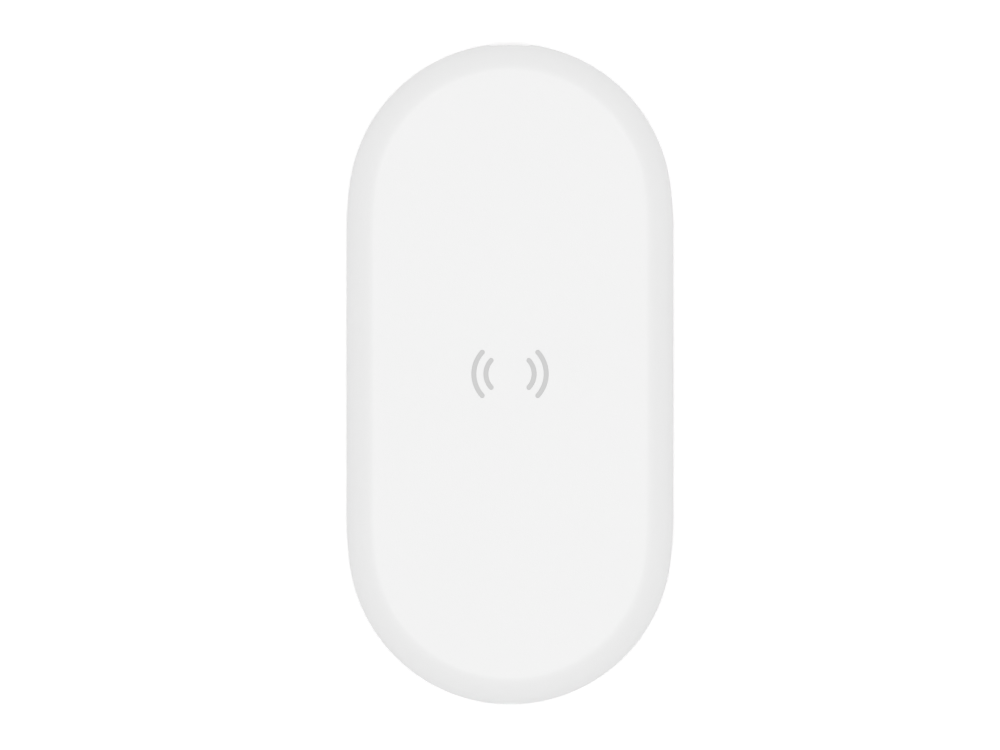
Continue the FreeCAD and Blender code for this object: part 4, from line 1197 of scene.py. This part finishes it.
def coil(node, middle_y, inner_tail_x):
    """A flat spiral of litz wire: half turns of one radius each, whose middles step to and fro."""
    low, high = box_mm(node)
    tree = ShapeTree(
        node + "_rule",
        Turns=COIL_TURNS,
        Steps_A_Turn=STEPS_A_TURN,
        Pitch=COIL_PITCH * MM,
        Corner=COIL_CORNER * MM,
        Core_X=(COIL_HALF_X - COIL_CORNER) * MM,
        Core_Y=(COIL_HALF_Y - COIL_CORNER) * MM,
        Wire=WIRE * MM,
        Wire_Corner=WIRE_CORNER * MM,
        Middle_Y=middle_y * MM,
        Middle_Z=(low.z + high.z) / 2 * MM,
        Inner_Tail_X=inner_tail_x * MM,
        Outer_Tail_X=low.x * MM,
        Outer_X=(-COIL_HALF_X - COIL_TURNS * COIL_PITCH) * MM,
        Inner_X=-COIL_HALF_X * MM,
        Finish=litz_copper,
    )
    given = tree.given
    steps = tree.times(given["Turns"], given["Steps_A_Turn"])
    line = tree.add("GeometryNodeCurvePrimitiveLine")
    line = tree.add("GeometryNodeResampleCurve", {0: line, "Count": tree.plus(steps, 2.0)})
    index = tree.add("GeometryNodeInputIndex").outputs[0]
    step = tree.sum("MINIMUM", tree.sum("MAXIMUM", tree.minus(index, 0.5), 0.0), steps)
    turn = tree.sum("DIVIDE", tree.times(step, 2 * math.pi), given["Steps_A_Turn"])
    nx = tree.times(tree.sum("COSINE", turn), -1.0)
    ny = tree.sum("SINE", turn)
    whole = tree.sum("FLOOR", tree.sum("DIVIDE", step, given["Steps_A_Turn"]))
    lower = tree.more(0.0, ny)
    half_pitch = tree.times(given["Pitch"], 0.5)
    grown = tree.times_plus(whole, given["Pitch"], tree.times(lower, half_pitch))
    radius = tree.plus(given["Corner"], grown)
    back = tree.times(lower, tree.times(half_pitch, -1.0))
    x = tree.times_plus(tree.sum("SIGN", nx), given["Core_X"], back)
    x = tree.times_plus(nx, radius, x)
    y = tree.times_plus(ny, radius, tree.times(tree.sum("SIGN", ny), given["Core_Y"]))
    at_start = tree.more(0.5, index)
    at_finish = tree.more(index, tree.plus(steps, 0.5))
    x = tree.pick(at_finish, tree.pick(at_start, x, given["Inner_X"]), given["Outer_X"])
    y = tree.pick(at_finish, tree.pick(at_start, y, 0.0), 0.0)
    rail = tree.add("GeometryNodeSetPosition", {0: line, "Position": tree.join_axes(x, y, 0)})
    square = {"Width": given["Wire"], "Height": given["Wire"]}
    profile = tree.add("GeometryNodeCurvePrimitiveQuadrilateral", square)
    rounding = {0: profile, "Count": 3, "Radius": given["Wire_Corner"]}
    profile = tree.add("GeometryNodeFilletCurve", rounding, mode="POLY")
    profile, spot = tree.keep(profile, "VECTOR", tree.add("GeometryNodeInputPosition"))
    wires = [wound(tree, rail, profile, spot)]
    for near, far in (("Inner_X", "Inner_Tail_X"), ("Outer_Tail_X", "Outer_X")):
        ends = {"Start": tree.join_axes(given[near]), "End": tree.join_axes(given[far])}
        tail = tree.add("GeometryNodeCurvePrimitiveLine", ends)
        wires.append(wound(tree, tail, profile, spot))
    made = tree.shifted(tree.joined(*wires), 0, given["Middle_Y"], given["Middle_Z"])
    tree.close(made, given["Finish"])
    return fit(soften(tree.grow(node + ".wire"), 50), "litz_wire", node)


top_cover()
bottom_cover()
foot_ring()
charge_mark()
for node_name in ("resonance_capacitors", "input_capacitors", "bypass_capacitors"):
    chip_parts(node_name, "capacitor_body", ceramic_tan)
for node_name in ("small_resistors", "shunt_resistor"):
    chip_parts(node_name, "resistor_body", resistor_black, share=0.25)
packages("control_chip", pads=10, pitch=0.5, pad_width=0.25)
packages("protocol_chip", pads=5, pitch=0.5, pad_width=0.25)
packages("bridge_transistors", pads=4, pitch=0.65, pad_width=0.35)
coil_switches()
power_inductor()
crystal()
status_light()
screws("housing_screws", seat=3.3, head=(1.9, 1.4), shank=(0.98, 5.0), upside_down=True)
screws("tray_screws", seat=5.1, head=(1.5, 1.0), shank=(0.78, 2.8))
screws("board_screws", seat=4.6, head=(1.5, 1.0), shank=(0.78, 2.5))
coil("coil_front", -COIL_SPACING, inner_tail_x=-2.45)
coil("coil_middle", 0.0, inner_tail_x=0.55)
coil("coil_rear", COIL_SPACING, inner_tail_x=3.55)


# ---- floor, light and camera ----

FLOOR_RADIUS = 3.5  # metres
SWEEP_RADIUS = 1.5
SWEEP_ANGLE = math.radians(60)
SWEEP_STEPS = 12
FLOOR_GLOW = 0.08
WORLD_GLOW = 0.50
LAMP_STRENGTH = 2.07
LAMP_SPREAD = math.radians(44)
VIEW_WIDTH = 220.4  # how much the camera takes in, at the pad's outline
VIEW_CENTRE = (-2.2, -0.24)
LENS = 300.0


def floor():
    """A pale glowing table that curves up all round, so that it has no far edge."""
    finish = Finish("studio_floor", roughness=0.9, Specular_IOR_Level=0.1)
    mottle = finish.noise(120.0, 2.0)
    finish.set("Base Color", finish.blend(mottle, grey(0.93), grey(0.95)))
    finish.set("Emission Color", grey(1.0))
    finish.set("Emission Strength", FLOOR_GLOW)
    low = (ring_low.z - 0.01) * MM
    dish = bmesh.new()
    profile = [dish.verts.new((0, 0, low)), dish.verts.new((FLOOR_RADIUS, 0, low))]
    for step in range(1, SWEEP_STEPS + 1):
        a = SWEEP_ANGLE * step / SWEEP_STEPS
        out, up = SWEEP_RADIUS * math.sin(a), SWEEP_RADIUS * (1 - math.cos(a))
        profile.append(dish.verts.new((FLOOR_RADIUS + out, 0, low + up)))
    edges = [dish.edges.new(pair) for pair in zip(profile, profile[1:])]
    whole = dict(angle=2 * math.pi, steps=96, axis=(0, 0, 1), cent=(0, 0, 0), use_merge=True)
    bmesh.ops.spin(dish, geom=profile + edges, **whole)
    bmesh.ops.remove_doubles(dish, verts=dish.verts, dist=0.01 * MM)
    bmesh.ops.recalc_face_normals(dish, faces=dish.faces)
    mesh = bpy.data.meshes.new("studio_floor")
    dish.to_mesh(mesh)
    dish.free()
    mesh.shade_smooth()
    mesh.materials.append(finish.material)
    made = bpy.data.objects.new("studio_floor", mesh)
    bpy.context.scene.collection.objects.link(made)


def light():
    """A wide soft lamp straight above, and a paler glow from all round."""
    world = bpy.data.worlds.new("studio")
    world.use_nodes = True
    background = world.node_tree.nodes["Background"].inputs
    background["Color"].default_value = grey(1.0)
    background["Strength"].default_value = WORLD_GLOW
    bpy.context.scene.world = world
    lamp = bpy.data.lights.new("overhead_lamp", "SUN")
    lamp.angle = LAMP_SPREAD
    lamp.energy = LAMP_STRENGTH
    made = bpy.data.objects.new("overhead_lamp", lamp)
    made.location = (0, 0, 1)
    bpy.context.scene.collection.objects.link(made)


def camera():
    """A long lens straight above the pad, looking down."""
    lens = bpy.data.cameras.new("camera")
    lens.lens = LENS
    lens.sensor_width = 36.0
    lens.clip_start = 0.05
    made = bpy.data.objects.new("camera", lens)
    distance = VIEW_WIDTH * MM * LENS / lens.sensor_width
    made.location = (VIEW_CENTRE[0] * MM, VIEW_CENTRE[1] * MM, UPPER_RIM * MM + distance)
    bpy.context.scene.collection.objects.link(made)
    bpy.context.scene.camera = made


floor()
light()
camera()
bpy.context.scene.view_settings.view_transform = "Standard"
